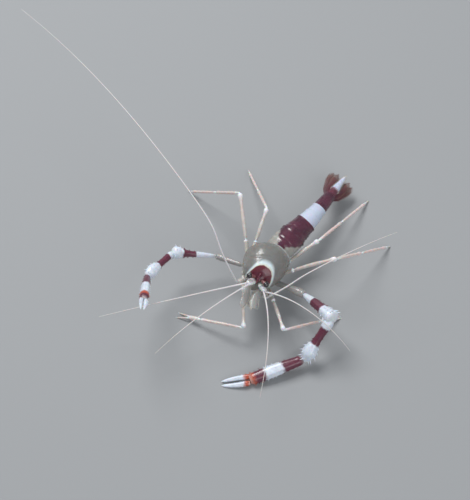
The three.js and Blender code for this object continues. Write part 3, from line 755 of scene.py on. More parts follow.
for word, side in both_sides:
    for kind, flat, look in (("antennule", 0.72, pale_finish), ("antenna", 0.9, root_joint_finish)):
        base, tip = stems[kind][word]
        low, high = on_body(base), on_body(tip)
        stem = rod(low, high, three_rings, face=body_axes[:, 2], flat=flat, rings=46, around=20)
        way = unit(high - low)
        outer = unit(np.cross(way, body_axes[:, 2])) * side
        spine_roots = np.stack([low + way * reach_out + outer * 0.8 for reach_out in (1.0, 1.9)])
        spines = thorns(spine_roots, np.stack([way + outer * 0.5] * 2), 0.7, 0.14, np.zeros((2, 3)))
        make(f"{kind}_stem_of_the_{word}", [(stem, 0), (spines, 0)], [look], "feeler_base",
             f"{kind}_stem_{word}")

    tip = np.array(stems["antennule"][word][1])
    for branch, aside in (("outer", 0.38), ("inner", -0.38)):
        name = f"antennule_{branch}_{word}"
        headings, pitches, length = whips[name]
        start = on_body(tip + [aside * side, -0.1, 0])
        line = sweep(start, headings, pitches, length + 0.5, steps=120)
        make(f"whip_{branch}_{word}", [(whip(line, 0.27, 0.07), 0)], [whip_finish], "feeler", name)

    (near_turn, near_tilt, near_length), (far_turn, far_tilt, far_length) = antennae[word]
    start = on_body(np.array(stems["antenna"][word][1]) + [0.15 * side, -0.35, 0])
    near = sweep(start, near_turn, near_tilt, near_length + 0.3, steps=90)
    far = sweep(near[-1], far_turn, far_tilt, far_length + 0.3, steps=260)
    line = np.concatenate([near, far[1:]])
    # The bend between the two lengths is rounded by a running average, and both ends are kept.
    window = np.hanning(2 * averaged + 1)
    padded = np.concatenate([np.repeat(line[:1], averaged, 0), line, np.repeat(line[-1:], averaged, 0)])
    smooth = [np.convolve(padded[:, k], window / window.sum(), "valid") for k in range(3)]
    line[left_alone:-left_alone] = np.stack(smooth, -1)[left_alone:-left_alone]
    make(f"long_whip_{word}", [(whip(line, 0.29, 0.06), 0)], [whip_finish], "feeler",
         f"antenna_near_{word}", f"antenna_far_{word}")

# The scale beside each lower feeler: a thin leaf, straight and spined outside, curved inside, with a
# rib along it and a fringe of hairs.
fringe_finish = finish(
    "fringe_hair", plain((0.74, 0.70, 0.62)), grain=(0.2, 0.3, 0.45, 1.4), bump=0.00001, Alpha=0.7
)


def leaf(length, left, right, thick, rib=0.0, curl=0.0, rows=44, columns=17):
    """A thin leaf along +Y from y = 0: left and right are half widths along it, as flowing curves, thick is
    its thickness in the middle, thinner towards the edges as one less the square of the way out, rib the
    height of a ridge along the middle, and curl how far the edges droop. Gives the two faces and the
    marks: the share of the length, the share of the width from -1 to 1, and 0."""
    t = (0.5 - 0.5 * np.cos(np.linspace(0, math.pi, rows)))[:, None]
    w = np.sin(np.linspace(-math.pi / 2, math.pi / 2, columns))[None]
    wide = np.where(w < 0, flowing(t, *zip(*left)), flowing(t, *zip(*right)))
    x = w * wide
    y = length * t + 0 * w
    droop = -curl * w * w * np.sin(math.pi * np.clip(t, 0, 1))
    body = thick * (0.35 + 0.65 * (1 - w * w))
    side_ribs = 0.5 * np.exp(-(((np.abs(w) - 0.5) / 0.1) ** 2))
    ridges = rib * (np.exp(-((w / 0.12) ** 2)) + side_ribs) * (1 - t)
    marks = np.stack([t + 0 * w, w + 0 * t, 0 * x], -1)
    return np.stack([x, y, droop + body / 2 + ridges], -1), np.stack([x, y, droop - body / 2], -1), marks


def set_at(start, along, face):
    """A function that carries points from a piece's own frame, along +Y and facing +Z, to its place."""
    along = unit(np.asarray(along, float))
    side = unit(np.cross(along, face))
    axes = np.stack([side, along, np.cross(side, along)])
    return lambda points: np.asarray(points, float) @ axes + np.asarray(start, float)


def fringe(top, under, spread, length, count, start=0.15, end=1.0, side=0):
    """Hairs rooted along a leaf's edge, from the share start to the share end of its length: they lean out
    and towards the tip, and are longest at the tip. side is -1 or 1 for one edge, 0 for both."""
    edge = (top + under) / 2
    rows = np.linspace(start, end, count) * (len(edge) - 1)
    low = np.clip(rows.astype(int), 0, len(edge) - 2)
    part = (rows - low)[:, None]
    roots, ways, sizes = [], [], []
    for column, hand in ((0, -1), (edge.shape[1] - 1, 1)):
        if side in (0, hand):
            border = edge[:, column]
            roots.append(border[low] * (1 - part) + border[low + 1] * part)
            share = rows / (len(edge) - 1)
            lean = np.clip((1 - share) * 2.2, 0.05, 1)
            ways.append(np.stack([hand * spread * lean, 1 + 0 * share, 0 * share], 1))
            sizes.append(length * (0.6 + 0.4 * share))
    roots, ways, sizes = np.concatenate(roots), np.concatenate(ways), np.concatenate(sizes)
    wobble = np.random.default_rng(len(roots)).uniform(-0.12, 0.12, roots.shape)
    return thorns(roots, ways + wobble, sizes, 0.045, np.zeros_like(roots), sides=3, hook=0.12)


scale_finish = finish(
    "feeler_scale", jointed((0.38, 0.38, 0.37), (0.52, 0.52, 0.51), 0.6), grain=(0.3, 0.4, 0.2, 1.0),
    Coat_Weight=0.4, Subsurface_Weight=0.35, Subsurface_Scale=0.0015, Alpha=0.66,
)
for word, side, size, forward in (
    ("left", 1, 7.8, (0.33, -7.7, -1.0)),
    ("right", -1, 8.8, (2.1, -8.2, -2.4)),
):
    carry_head = set_at(on_body([2.2 * side, -8.4, -0.83]), body_axes @ np.array(forward), body_axes[:, 2])
    outer_edge = [(0, 0.45), (0.1, 0.6), (0.6, 0.8), (0.9, 0.85), (0.97, 0.5), (1, 0.08)]
    inner_edge = [(0, 0.45), (0.2, 1.0), (0.45, 1.35), (0.7, 1.25), (0.9, 0.7), (1, 0.08)]
    # Carried along -Y, the piece's own +X is the animal's right.
    edges = (outer_edge, inner_edge) if side > 0 else (inner_edge, outer_edge)
    top, under, marks = leaf(size, *edges, 0.4, rib=0.12, curl=0.2)
    hairs = fringe(top, under, 0.7, 1.0, 80, start=0.2, side=side)
    spine_y = size * np.array([0.45, 0.6, 0.75, 0.9])
    spine_roots = np.stack([np.array([-0.75, -0.8, -0.82, -0.85]) * side, spine_y, 0 * spine_y], 1)
    edge_thorns = thorns(spine_roots, np.array([[-0.5 * side, 1.0, 0.0]] * 4), 0.5, 0.12, 0 * spine_roots)
    make(
        f"feeler_scale_{word}",
        carried(carry_head, (plate(top, under, marks), 0), (edge_thorns, 0), (hairs, 1)),
        [scale_finish, fringe_finish], "feeler_base", f"antenna_scale_{word}",
    )

# ------------------------------------------------------------------ mouth legs and first legs
# Short slender limbs folded forwards under the head: glassy, each of a few rods, with a comb of fine
# hairs along the inner edge. The first pair ends in a tiny pincer.


def joints(start, lengths, angles):
    """Joint points of a limb: each length goes off at its own heading and pitch."""
    ways = heading_to(*np.array(angles, float).T)
    return np.concatenate([[start], start + np.cumsum(ways * np.array(lengths)[:, None], 0)])


def numbered(*groups):
    """The parts of each group with the group's number, which is the number of its finish."""
    return [(part, number) for number, group in enumerate(groups) for part in group]


def comb(start, end, way, count, length, width=0.04, seed=3):
    """Fine hairs from a line, leaning in the way given and a little along the line."""
    t = np.linspace(0.04, 0.96, count)[:, None]
    shake = np.random.default_rng(seed).uniform(-0.3, 0.3, (count, 3))
    roots = start * (1 - t) + end * t
    ways = np.asarray(way, float) + 0.5 * unit(end - start) + shake
    lengths = length * (0.7 + 0.3 * np.sin(math.pi * t[:, 0]))
    return thorns(roots, ways, lengths, width, 0 * roots, sides=3, hook=0.2)


glass_limb_finish = finish(
    "glassy_limb", jointed((0.40, 0.39, 0.36), (0.62, 0.62, 0.60), 0.7), grain=(0.3, 0.4, 0.2, 1.0),
    Coat_Weight=0.4, Subsurface_Weight=0.4, Subsurface_Scale=0.0015, Alpha=0.9,
)
segment = [
    (0, 0.45), (0.05, 0.72), (0.14, 0.82), (0.45, 1.0), (0.8, 0.92), (0.92, 1.0), (0.98, 0.72), (1, 0.4)
]


def stout(radius, shape=None):
    """The half widths of the shape given, or of a limb segment, at that radius."""
    return [(t, girth * radius) for t, girth in (shape or segment)]


mouth_tip = [(0, 0.6), (0.2, 0.95), (0.6, 0.7), (0.95, 0.25), (1, 0.1)]
mouth_turns = {"left": [(-72, 9), (76, -79)], "right": [(-74, 5), (18, -76)]}
first_turns = {
    "left": [(-73, -19), (-78, -33), (-90, -60)],
    "right": [(-69, -42), (-48, -12), (-76, -45)],
}
for word, side in both_sides:
    at = joints(on_body([1.0 * side, -8.4, -4.1]), [4.9, 3.1], mouth_turns[word])
    middle_joint = at[1] * 0.98 + at[0] * 0.02
    end_split = at[1] + (at[2] - at[1]) * 0.58
    rods = [
        rod(at[0], middle_joint, stout(0.72), flat=0.62, bow=0.25),
        rod(at[1], end_split, stout(0.62), flat=0.62, bow=0.1),
        rod(end_split, at[2], stout(0.5, mouth_tip), flat=0.7),
    ]
    inward = body_axes @ np.array([-1.0 * side, 0, -0.35])
    spans = ((at[0], at[1]), (at[1], end_split), (end_split, at[2]))
    hairs = [comb(a, b, inward, 34, 0.9, seed=5) for a, b in spans]
    make(f"mouth_leg_of_the_{word}", numbered(rods, hairs),
         [glass_limb_finish, fringe_finish], "front_limb", f"mouth_leg_{word}")

    start = hip("first", side) + heading_to(*first_turns[word][0]) * 0.7
    at = joints(start, [2.35, 2.2, 1.6], first_turns[word])
    rods = [
        rod(at[0], at[1], stout(0.5), bow=0.1),
        rod(at[1], at[2], stout(0.45), bow=0.05),
        rod(at[2], at[2] + (at[3] - at[2]) * 0.62, stout(0.4)),
    ]
    palm_end = at[2] + (at[3] - at[2]) * 0.55
    across_tip = unit(np.cross(at[3] - at[2], overhead))
    for hand in (1, -1):
        tip = at[3] + across_tip * 0.06 * hand
        fine = stout(0.2, [(0, 1), (0.5, 0.8), (1, 0.15)])
        rods.append(rod(palm_end + across_tip * 0.2 * hand, tip, fine, rings=12, around=8))
    hairs = [comb(palm_end, at[2], -across_tip * side, 22, 0.7, seed=9)]
    make(f"first_leg_of_the_{word}", numbered(rods, hairs),
         [glass_limb_finish, fringe_finish], "front_limb", f"first_leg_{word}")

# ------------------------------------------------------------------ walking legs
# Long thin glassy legs that go pink towards the foot, white at each joint. The second pair ends in a
# small pincer; the fourth and fifth stand on a short two-pointed toe, and their lower parts are ringed.


def leg_paint(tree):
    """Glassy near the body and pink further out, by the distance from the hip in the third mark, with
    faint paler rings and a white joint."""
    _, near, out = marked(tree)
    length_way = ramp(
        tree, out,
        [
            (0, (0.56, 0.54, 0.49)),
            (12, (0.63, 0.58, 0.54)),
            (20, (0.72, 0.59, 0.55)),
            (46, (0.74, 0.63, 0.59)),
        ],
        high=50.0,
    )
    wave = reckoned(tree, "SINE", reckoned(tree, "MULTIPLY", out, 2.6))
    ringed = reckoned(tree, "MULTIPLY", wave, 0.16, clamp=True)
    return blended(tree, near, blended(tree, ringed, length_way, milk), (0.90, 0.92, 0.95))


leg_finish = finish(
    "walking_leg", leg_paint, grain=(0.25, 0.4, 0.22, 1.0), Coat_Weight=0.4, Subsurface_Weight=0.4,
    Subsurface_Scale=0.0012, Alpha=0.92,
)


def leg_rod(start, end, girths, gone, bow=0.0, bumps=0, rings=40, around=12, white=(1.3, 1.3)):
    """A rod of a leg that starts gone millimetres from the hip. The second mark is 1 at a joint and fades
    over the millimetres that white gives for its near and far end."""
    length = np.linalg.norm(end - start)
    t = eased(rings)
    s = t * length
    near = np.exp(-((s / max(white[0], 0.01)) ** 2)) + np.exp(-(((length - s) / max(white[1], 0.01)) ** 2))
    marks = np.stack([s, np.clip(near, 0, 1), gone + s], -1)
    return rod(start, end, girths, bow=bow, bumps=bumps, rings=rings, around=around, marks=marks)


def knobbed(radius):
    """The girths of an upper leg rod, swollen just before the knee."""
    near_part = [(0, 0.45), (0.05, 0.78), (0.14, 0.85), (0.45, 1.0)]
    return stout(radius, near_part + [(0.84, 0.9), (0.94, 1.28), (0.985, 1.0), (1, 0.5)])


def leg_prickles(start, end, radius, gone, count, seed):
    """Small spines set in two rows along a leg rod, leaning towards its far end."""
    t = np.linspace(0.08, 0.94, count)
    along = unit(end - start)
    side = unit(np.cross(along, overhead))
    up = np.cross(side, along)
    turn_by = np.where(np.arange(count) % 2, 0.9, -0.9)
    turn_by = turn_by + np.random.default_rng(seed).uniform(-0.3, 0.3, count)
    out = up * np.cos(turn_by)[:, None] + side * np.sin(turn_by)[:, None]
    length = np.linalg.norm(end - start)
    roots = start + (end - start) * t[:, None] + out * radius * 0.85
    marks = np.stack([t * length, 0 * t, gone + t * length], 1)
    return thorns(roots, out * 0.8 + along, 0.42, 0.09, marks, sides=4)


second_turns = {
    "left": [(-55, 8), (53, -24), (51, -25.9)],
    "right": [(-69, -10), (178, -15), (176, -18.9)],
}
pincer_palm = [(0, 0.5), (0.1, 0.75), (0.5, 1), (0.85, 0.95), (1, 0.7)]
for word, side, opened in (("left", 1, 0.25), ("right", -1, 0.95)):
    at = joints(hip("second", side), [18, 14.5, 8.5], second_turns[word])
    way = [unit(at[k + 1] - at[k]) for k in range(3)]
    hip_end = at[0] + way[0] * 0.75
    first_joint = at[0] + way[0] * 6.2
    wrist = at[2] + way[2] * 0.1
    palm_end = at[2] + way[2] * 4.4
    parts = [
        leg_rod(hip_end, first_joint, stout(0.66), 0.7, white=(0.2, 0.5)),
        leg_rod(first_joint, at[1], knobbed(0.58), 6.2, bow=0.25, white=(0.5, 1.9)),
        leg_rod(at[1], at[2], stout(0.47), 18, white=(1.9, 1.2)),
        leg_rod(wrist, palm_end, stout(0.62, pincer_palm), 32.5),
        leg_prickles(first_joint, at[1], 0.55, 6.2, 12, 4),
        leg_prickles(at[1], at[2], 0.45, 18, 12, 6),
    ]
    across_tip = unit(np.cross(way[2], overhead))
    for hand in (1, -1):
        tip = at[3] + across_tip * opened * hand
        root = palm_end - way[2] * 0.3 + across_tip * 0.3 * hand
        finger = [(0, 0.3), (0.2, 0.29), (0.7, 0.2), (0.93, 0.1), (1, 0.05)]
        parts.append(leg_rod(root, tip, finger, 36.6, white=(0.6, 0.8), rings=16, around=8))
    make(f"second_leg_of_the_{word}", numbered(parts), [leg_finish], "walking_leg",
         *[f"second_leg_{part}_{word}" for part in ("upper", "wrist", "pincer")])

standing = {
    "fourth": {"lengths": (20.5, 29), "left": [(18, 29), (64, -35)], "right": [(119, 28), (158, -41.6)]},
    "fifth": {"lengths": (15.15, 30.5), "left": [(51.5, 19.2), (76, -22)], "right": [(91.1, 23), (123, -30)]},
}
for pair, leg in standing.items():
    upper_length, lower_length = leg["lengths"]
    for word, side in both_sides:
        at = joints(hip(pair, side), leg["lengths"], leg[word])
        way = [unit(at[1] - at[0]), unit(at[2] - at[1])]
        first_joint = at[0] + way[0] * upper_length * 0.3
        half_way = at[1] + way[1] * lower_length * 0.46
        ankle = at[1] + way[1] * (lower_length - 1.9)
        parts = [
            leg_rod(at[0] + way[0] * 0.75, first_joint, stout(0.68), 0.7, white=(0.2, 0.5)),
            leg_rod(first_joint, at[1], knobbed(0.6), upper_length * 0.3, bow=0.3, white=(0.5, 1.9)),
            leg_rod(at[1], half_way, stout(0.5), upper_length, bumps=7, rings=90, white=(2.2, 0.8)),
            leg_rod(half_way, ankle, stout(0.43), upper_length + lower_length * 0.46, bumps=6, rings=80,
                    white=(0.8, 0.6)),
            leg_prickles(first_joint, at[1], 0.58, upper_length * 0.3, 14, 8),
            leg_prickles(at[1], half_way, 0.48, upper_length, 12, 10),
        ]
        across_toe = unit(np.cross(way[1], overhead))
        for hand, size in ((1, 0.30), (-1, 0.24)):
            toe = at[2] + way[1] * 0.25 + across_toe * 0.12 * hand
            claw = [(0, 1.0), (0.4, 0.85), (0.8, 0.6), (1, 0.3)]
            parts.append(leg_rod(ankle - way[1] * 0.2, toe, stout(size, claw),
                                 upper_length + lower_length - 2, rings=14, around=8, white=(0.5, 0.01)))
        make(f"{pair}_leg_of_the_{word}", numbered(parts), [leg_finish], "walking_leg",
             f"{pair}_leg_upper_{word}", f"{pair}_leg_lower_{word}")

# ------------------------------------------------------------------ great claws
# The third pair of legs: a glassy root, then a long upper arm, a forearm that swells towards the
# hand, and a flattened hand with a fixed and a moving finger, all banded in crimson and white. Rows
# of spines, longest at the far end of each part, stand along their keels. The left claw is larger.


def keeled(start, end, girths, face, flat=1.0, bow=0.0, keels=6, keel=0.05):
    """A claw part as a function of the share t of its length and the angle round it: the half width
    follows the girths, is squashed by flat across the face, and swells by keel of itself on each of the
    keels; the line bows towards the face. Also gives the unit vector outwards at an angle."""
    start, end = np.asarray(start, float), np.asarray(end, float)
    along = unit(end - start)
    side = unit(np.cross(along, face))
    up = np.cross(side, along)
    span = np.linalg.norm(end - start)

    def outwards(angle):
        return side * np.cos(angle)[..., None] + up * (flat * np.sin(angle))[..., None]

    def surface(t, angle):
        ribbed = 1 + keel * np.cos(keels * angle) * np.sin(math.pi * np.clip(t, 0, 1))
        girth = flowing(t, *zip(*girths)) * ribbed
        line = start + along * (span * t)[..., None] + up * (bow * 4 * t * (1 - t))[..., None]
        return line + outwards(angle) * girth[..., None]

    return surface, outwards, along


def claw_skin(surface, low, high, rings=64, around=30):
    """The closed skin of a claw part. The first mark is the place along the whole arm, from low to high,
    which the bands are painted by; the second is 1 near the joints at its ends."""
    t = eased(rings)
    angle = round_angles(around)
    tt, aa = np.meshgrid(t, angle, indexing="ij")
    marks = np.stack([low + (high - low) * tt, np.exp(-((np.minimum(tt, 1 - tt) / 0.04) ** 2)), aa], -1)
    return skins(surface(tt, aa)[None], marks[None])


def spine_rows(part, low, high, angles, count, size, first=0.12, last=0.93, grow=0.9, seed=1, width=0.2):
    """Spines in rows along the angles, growing towards the far end by grow, leaning forwards, each marked
    with its place along the arm."""
    surface, outwards, along = part
    shake = np.random.default_rng(seed)
    t, angle = np.meshgrid(np.linspace(first, last, count), np.radians(angles), indexing="xy")
    t = t.ravel() + shake.uniform(-0.012, 0.012, t.size)
    angle = angle.ravel() + shake.uniform(-0.08, 0.08, t.size)
    uneven = shake.uniform(0.8, 1.15, t.size)
    # A spine shaken to before the first place has no size on the growing curve, so it is left out.
    placed = t >= first
    t, angle, uneven = t[placed], angle[placed], uneven[placed]
    out = units(outwards(angle))
    grown = 1 - grow + grow * ((t - first) / (last - first)) ** 1.3
    sizes = size * grown * uneven
    roots = surface(t, angle)
    marks = np.stack([low + (high - low) * t, 0 * t, angle], 1)
    return thorns(roots, out + 0.75 * along, sizes, width * np.sqrt(sizes), marks, hook=0.12)


claw_glass = (0.40, 0.40, 0.39)
claw_white = (0.68, 0.74, 0.83)
claw_red = (0.122, 0.021, 0.046)
claw_orange = (0.48, 0.085, 0.040)


def bands(*runs):
    """Ramp stops for bands of (colour, from, to) with soft edges, in places along the arm."""
    stops = []
    for colour, start, end in runs:
        stops += [(start + 0.012, colour), (end - 0.012, colour)]
    return stops


arm_bands = {
    "left": bands(
        (claw_white, 0.97, 1.35), (claw_red, 1.35, 1.66), (claw_white, 1.66, 2.23),
        (claw_red, 2.23, 2.60), (claw_white, 2.60, 3.02), (claw_red, 3.02, 3.28), (claw_white, 3.28, 3.49),
        (claw_red, 3.49, 3.61), (claw_orange, 3.62, 3.74), (claw_white, 3.74, 4.0),
    ),
    "right": bands(
        (claw_glass, 0.0, 1.0), (claw_white, 1.14, 1.48), (claw_red, 1.48, 1.77), (claw_white, 1.77, 2.19),
        (claw_red, 2.19, 2.58), (claw_white, 2.58, 3.0), (claw_red, 3.0, 3.29), (claw_white, 3.29, 3.55),
        (claw_orange, 3.56, 3.61), (claw_red, 3.62, 3.70), (claw_white, 3.70, 4.0),
    ),
}


def arm_paint(stops):
    """Paint by the first mark, its band edges made uneven by noise, the pigment cloudy inside a band."""

    def paint(tree):
        along, near, _ = marked(tree)
        banded = ramp(tree, reckoned(tree, "ADD", along, ragged(tree, 700, 4, 0.07)), stops, high=4.0)
        worn = reckoned(tree, "MULTIPLY", near, 0.35)
        return blended(tree, worn, banded, (0.80, 0.78, 0.74))

    return paint


claw_shapes = {
    "left": {
        "root": [(0, 0.55), (0.06, 0.85), (0.2, 0.92), (0.6, 1.1), (0.9, 1.22), (0.97, 1.05), (1, 0.5)],
        "upper": [
            (0, 0.5), (0.05, 0.8), (0.12, 0.95), (0.35, 1.38), (0.66, 1.55),
            (0.80, 1.9), (0.92, 2.15), (0.98, 1.85), (1, 1.0),
        ],
        "fore": [
            (0, 1.0), (0.06, 1.55), (0.14, 1.62), (0.24, 1.35), (0.42, 1.2),
            (0.57, 1.35), (0.68, 1.95), (0.79, 2.25), (0.90, 1.75), (1, 0.8),
        ],
        "palm": [
            (0, 0.95), (0.05, 1.4), (0.15, 1.55), (0.42, 1.85), (0.66, 1.98),
            (0.86, 1.82), (0.96, 1.7), (1, 1.2),
        ],
    },
    "right": {
        "root": [(0, 0.4), (0.06, 0.62), (0.2, 0.68), (0.6, 0.8), (0.9, 0.88), (0.97, 0.74), (1, 0.35)],
        "upper": [
            (0, 0.35), (0.05, 0.5), (0.12, 0.6), (0.35, 0.86), (0.66, 1.05),
            (0.79, 1.5), (0.89, 1.82), (0.97, 1.5), (1, 0.9),
        ],
        "fore": [
            (0, 0.55), (0.06, 0.95), (0.16, 1.05), (0.4, 0.98), (0.55, 1.1),
            (0.66, 1.6), (0.78, 1.82), (0.9, 1.45), (0.96, 1.05), (1, 0.55),
        ],
        "palm": [(0, 0.5), (0.05, 0.85), (0.15, 1.0), (0.4, 1.2), (0.7, 1.32), (0.93, 1.2), (1, 0.8)],
    },
}
finger_shape = [(0, 0.75), (0.08, 0.92), (0.2, 0.95), (0.5, 0.8), (0.8, 0.58), (0.94, 0.32), (1, 0.06)]
great_claws = {
    "left": {
        "lengths": [11, 14.5, 14.9, 17.6, 8.6], "girth": 0.88, "face": heading_to(-69, 80),
        "turns": [(-12, 10), (-33, 17), (-112.8, -40.6), (-138.3, -6.4), (-154.5, -7.3)],
    },
    "right": {
        "lengths": [9.7, 13.8, 13.2, 15.1, 6.5], "girth": 0.6, "face": heading_to(-69, 40),
        "turns": [(-187, -7), (-152, 18.5), (-104.9, 13.4), (-71.4, 28), (-71.4, 28)],
    },
}
root_finish = finish(
    "claw_root", jointed((0.36, 0.35, 0.34), (0.56, 0.56, 0.56), 0.6), grain=(0.3, 0.5, 0.2, 1.0),
    Coat_Weight=0.4, Subsurface_Weight=0.35, Subsurface_Scale=0.0015, Alpha=0.8,
)


def claw_finger(root, tip, girth, face, hand, low, high):
    """A finger from root to tip, bowed a little so that the tips meet, blunt teeth along its inner edge."""
    across_hand = unit(np.cross(unit(tip - root), face))
    part = keeled(root, tip, stout(girth, finger_shape), face, flat=0.85, keels=5, keel=0.06)
    surface, outwards, along = part

    def bowed(t, angle):
        return surface(t, angle) + across_hand * (hand * 0.3 * girth * 4 * t * (1 - t))[..., None]

    skin = claw_skin(bowed, low, high, rings=46, around=22)
    count = 13
    t = np.linspace(0.16, 0.9, count)
    inner = np.full(count, math.pi if hand > 0 else 0.0)
    roots = bowed(t, inner)
    marks = np.stack([low + (high - low) * t, 0 * t, 0 * t], 1)
    sizes = girth * (0.24 - 0.12 * t) * (1 + 0.5 * (np.arange(count) % 3 == 0))
    teeth_in = thorns(roots, -across_hand * hand + 0 * roots, sizes, 0.8 * sizes, marks, sides=6)
    outer = spine_rows((bowed, outwards, along), low, high, [20 if hand > 0 else 160, 90], 6, 0.45 * girth,
                       first=0.05, last=0.6, grow=-0.6, seed=count + hand, width=0.16)
    return [skin, teeth_in, outer]


for word, side in both_sides:
    claw = great_claws[word]
    shapes, lengths, g, face = claw_shapes[word], claw["lengths"], claw["girth"], claw["face"]
    at = joints(hip("third", side), lengths, claw["turns"])
    way = [unit(at[k + 1] - at[k]) for k in range(5)]
    arm_finish = finish(
        f"claw_bands_{word}", arm_paint(arm_bands[word]), grain=(0.35, 0.7, 0.2, 0.8), bump=0.00008,
        Coat_Weight=0.45, Coat_Roughness=0.15, Subsurface_Weight=0.18, Subsurface_Scale=0.0015,
    )

    root_part = keeled(at[0] + way[0] * 0.8, at[1] + way[0] * 0.5 * g, shapes["root"], face, flat=0.9,
                       bow=0.2, keels=4)
    root_spines = spine_rows(root_part, 0.0, 0.0, [60, 120, 180, 240], 6, 0.7 * g, seed=11)
    make(
        f"claw_root_{word}",
        [(claw_skin(root_part[0], 0.0, 1.0), 0), (root_spines, 0)],
        [root_finish], "claw_clear", f"claw_ischium_{word}",
    )

    upper_part = keeled(at[1] + way[1] * 0.35 * g, at[2] + way[1] * 0.95 * g, shapes["upper"], face,
                        flat=0.92, bow=0.5 * g)
    fore_part = keeled(at[2] + way[2] * 0.75 * g, at[3] + way[2] * 1.0 * g, shapes["fore"], face,
                       flat=0.92, bow=0.3 * g)
    arm = []
    for part, low, seed in ((upper_part, 1, 21), (fore_part, 2, 31)):
        arm.append(claw_skin(part[0], low + 0.03, low + 1.0))
        arm.append(spine_rows(part, low, low + 1, [0, 180], 8, 1.5 * g, first=0.2, seed=seed, width=0.26))
        arm.append(spine_rows(part, low, low + 1, [45, 90, 135], 9, 0.95 * g, seed=seed + 1))
        arm.append(spine_rows(part, low, low + 1, [225, 270, 315], 7, 0.7 * g, seed=seed + 2))
        arm.append(spine_rows(part, low, low + 1, [25, 75, 105, 155], 1, 1.5 * g, first=0.93, last=0.94,
                              grow=0.0, seed=seed + 3))
    if word == "right":
        arm.append(spine_rows(fore_part, 2, 3, [165], 1, 2.6, first=0.93, last=0.94, grow=0.0, seed=77))
    make(f"claw_arm_{word}", numbered(arm), [arm_finish], "claw_banded",
         f"claw_merus_{word}", f"claw_carpus_{word}")

    # The palm's marks run from 3 to 3 plus its share of the hand's length, the fingers' from there to 4.
    across_hand = unit(np.cross(way[4], face))
    palm_part = keeled(at[3] + way[3] * 0.75 * g, at[4] + way[3] * 0.1 * g, shapes["palm"], face,
                       flat=0.8, bow=0.25 * g, keels=6, keel=0.04)
    share = lengths[3] / (lengths[3] + lengths[4])
    hand_parts = [
        claw_skin(palm_part[0], 3.03, 3 + share, rings=70, around=34),
        spine_rows(palm_part, 3, 3 + share, [0, 180], 12, 0.9 * g, grow=0.45, first=0.06, seed=41),
        spine_rows(palm_part, 3, 3 + share, [50, 90, 130], 11, 0.6 * g, grow=0.4, first=0.08, seed=42,
                   width=0.17),
        spine_rows(palm_part, 3, 3 + share, [230, 270, 310], 9, 0.5 * g, grow=0.3, first=0.1, seed=43,
                   width=0.17),
    ]
    tip = at[5] + way[4] * 0.05
    fixed_root = at[4] - way[4] * 2.2 * g + across_hand * 1.08 * g
    moving_root = at[4] + way[4] * 0.1 - across_hand * 1.08 * g
    fixed = claw_finger(fixed_root, tip + across_hand * 0.72 * g, g, face, 1, 3 + share - 0.07, 4.0)
    make(f"claw_hand_{word}", numbered(hand_parts + fixed), [arm_finish], "claw_banded",
         f"claw_palm_{word}")
    moving = claw_finger(moving_root, tip - across_hand * 0.72 * g, g, face, -1, 3 + share, 4.0)
    make(f"claw_finger_of_the_{word}", numbered(moving), [arm_finish], "claw_finger",
         f"claw_finger_{word}")

# ------------------------------------------------------------------ abdomen
# Six horny rings, each with an arched back and a plate hanging at each side, tucked one under the
# next. Small prickles point backwards all over them. The second and third carry a crimson saddle,
# the fourth and fifth are white, the sixth is crimson again; swimming paddles hang below.
ring_table = [
    # length, half width, heading, pitch
    (2.2, 4.0, 74, -2),
    (5.6, 4.3, 72, -3),
    (6.6, 4.1, 73, -5),
    (4.2, 3.2, 76, -10),
    (4.1, 2.7, 78, -11),
    (7.6, 2.3, 80, -11),
    (9.8, 1.25, 80, -8),
]
back_joints = joints(on_body(waist), [row[0] for row in ring_table], [row[2:] for row in ring_table])
leaning_up = np.array([math.sin(math.radians(20)), 0.0, math.cos(math.radians(20))])


def ring_section(angle):
    """How far out a ring's skin is at an angle from its back (0) to its belly (180 degrees), as a share of
    the half width: an arch 0.92 high, side plates that hang to 42 degrees below level, and a raised belly."""
    off = np.abs(angle)
    below = np.degrees(off) - 90
    arch = 1 / np.sqrt(np.sin(off) ** 2 + (np.cos(off) / 0.92) ** 2)
    plates = flowing(below, [0, 18, 32, 42, 50, 62, 90], [1.0, 1.0, 0.99, 0.94, 0.72, 0.46, 0.33])
    return np.where(below < 0, arch, plates)


def ring_surface(index, t, angle):
    """A point of ring number index in its own frame: t runs from its front to its rear edge. Both edges
    sweep back down the sides, the rear one is lipped and stands over the next ring, and the back has a
    shallow furrow across it a third of the way along."""
    length, half_width = ring_table[index][:2]
    following = ring_table[min(index + 1, 5)][1] if index < 5 else half_width * 0.74
    sides = np.exp(-(((np.abs(angle) - math.radians(112)) / 0.55) ** 2))
    hang = 0.5 - 0.5 * np.cos(np.clip(np.abs(angle) / math.radians(100), 0, 1) * math.pi)
    front = -0.5 + 0.10 * half_width * hang + 0.10 * half_width * sides
    rear = length + 0.22 + (0.20 if index < 5 else 0.05) * half_width * hang + 0.12 * half_width * sides
    y = front + (rear - front) * t
    taper = half_width + (min(half_width, following) - half_width) * np.clip(y / length, 0, 1)
    swell = 0.90 + 0.12 * np.clip(t / 0.22, 0, 1) ** 0.6
    furrow = 0.035 * np.exp(-(((t - 0.36) / 0.05) ** 2))
    lip = 0.035 * np.exp(-(((1 - t) / 0.07) ** 2))
    size = taper * (swell - furrow + lip) * ring_section(angle)
    return np.stack([size * np.sin(angle), y, size * np.cos(angle)], -1)


ring_glass = (0.36, 0.35, 0.32)
ring_red = (0.108, 0.022, 0.048)
ring_dark = (0.070, 0.015, 0.034)
# The rings' white, painted dimmer and bluer than the animal's real white: painted shade.
shaded_ring_white = (0.58, 0.63, 0.77)


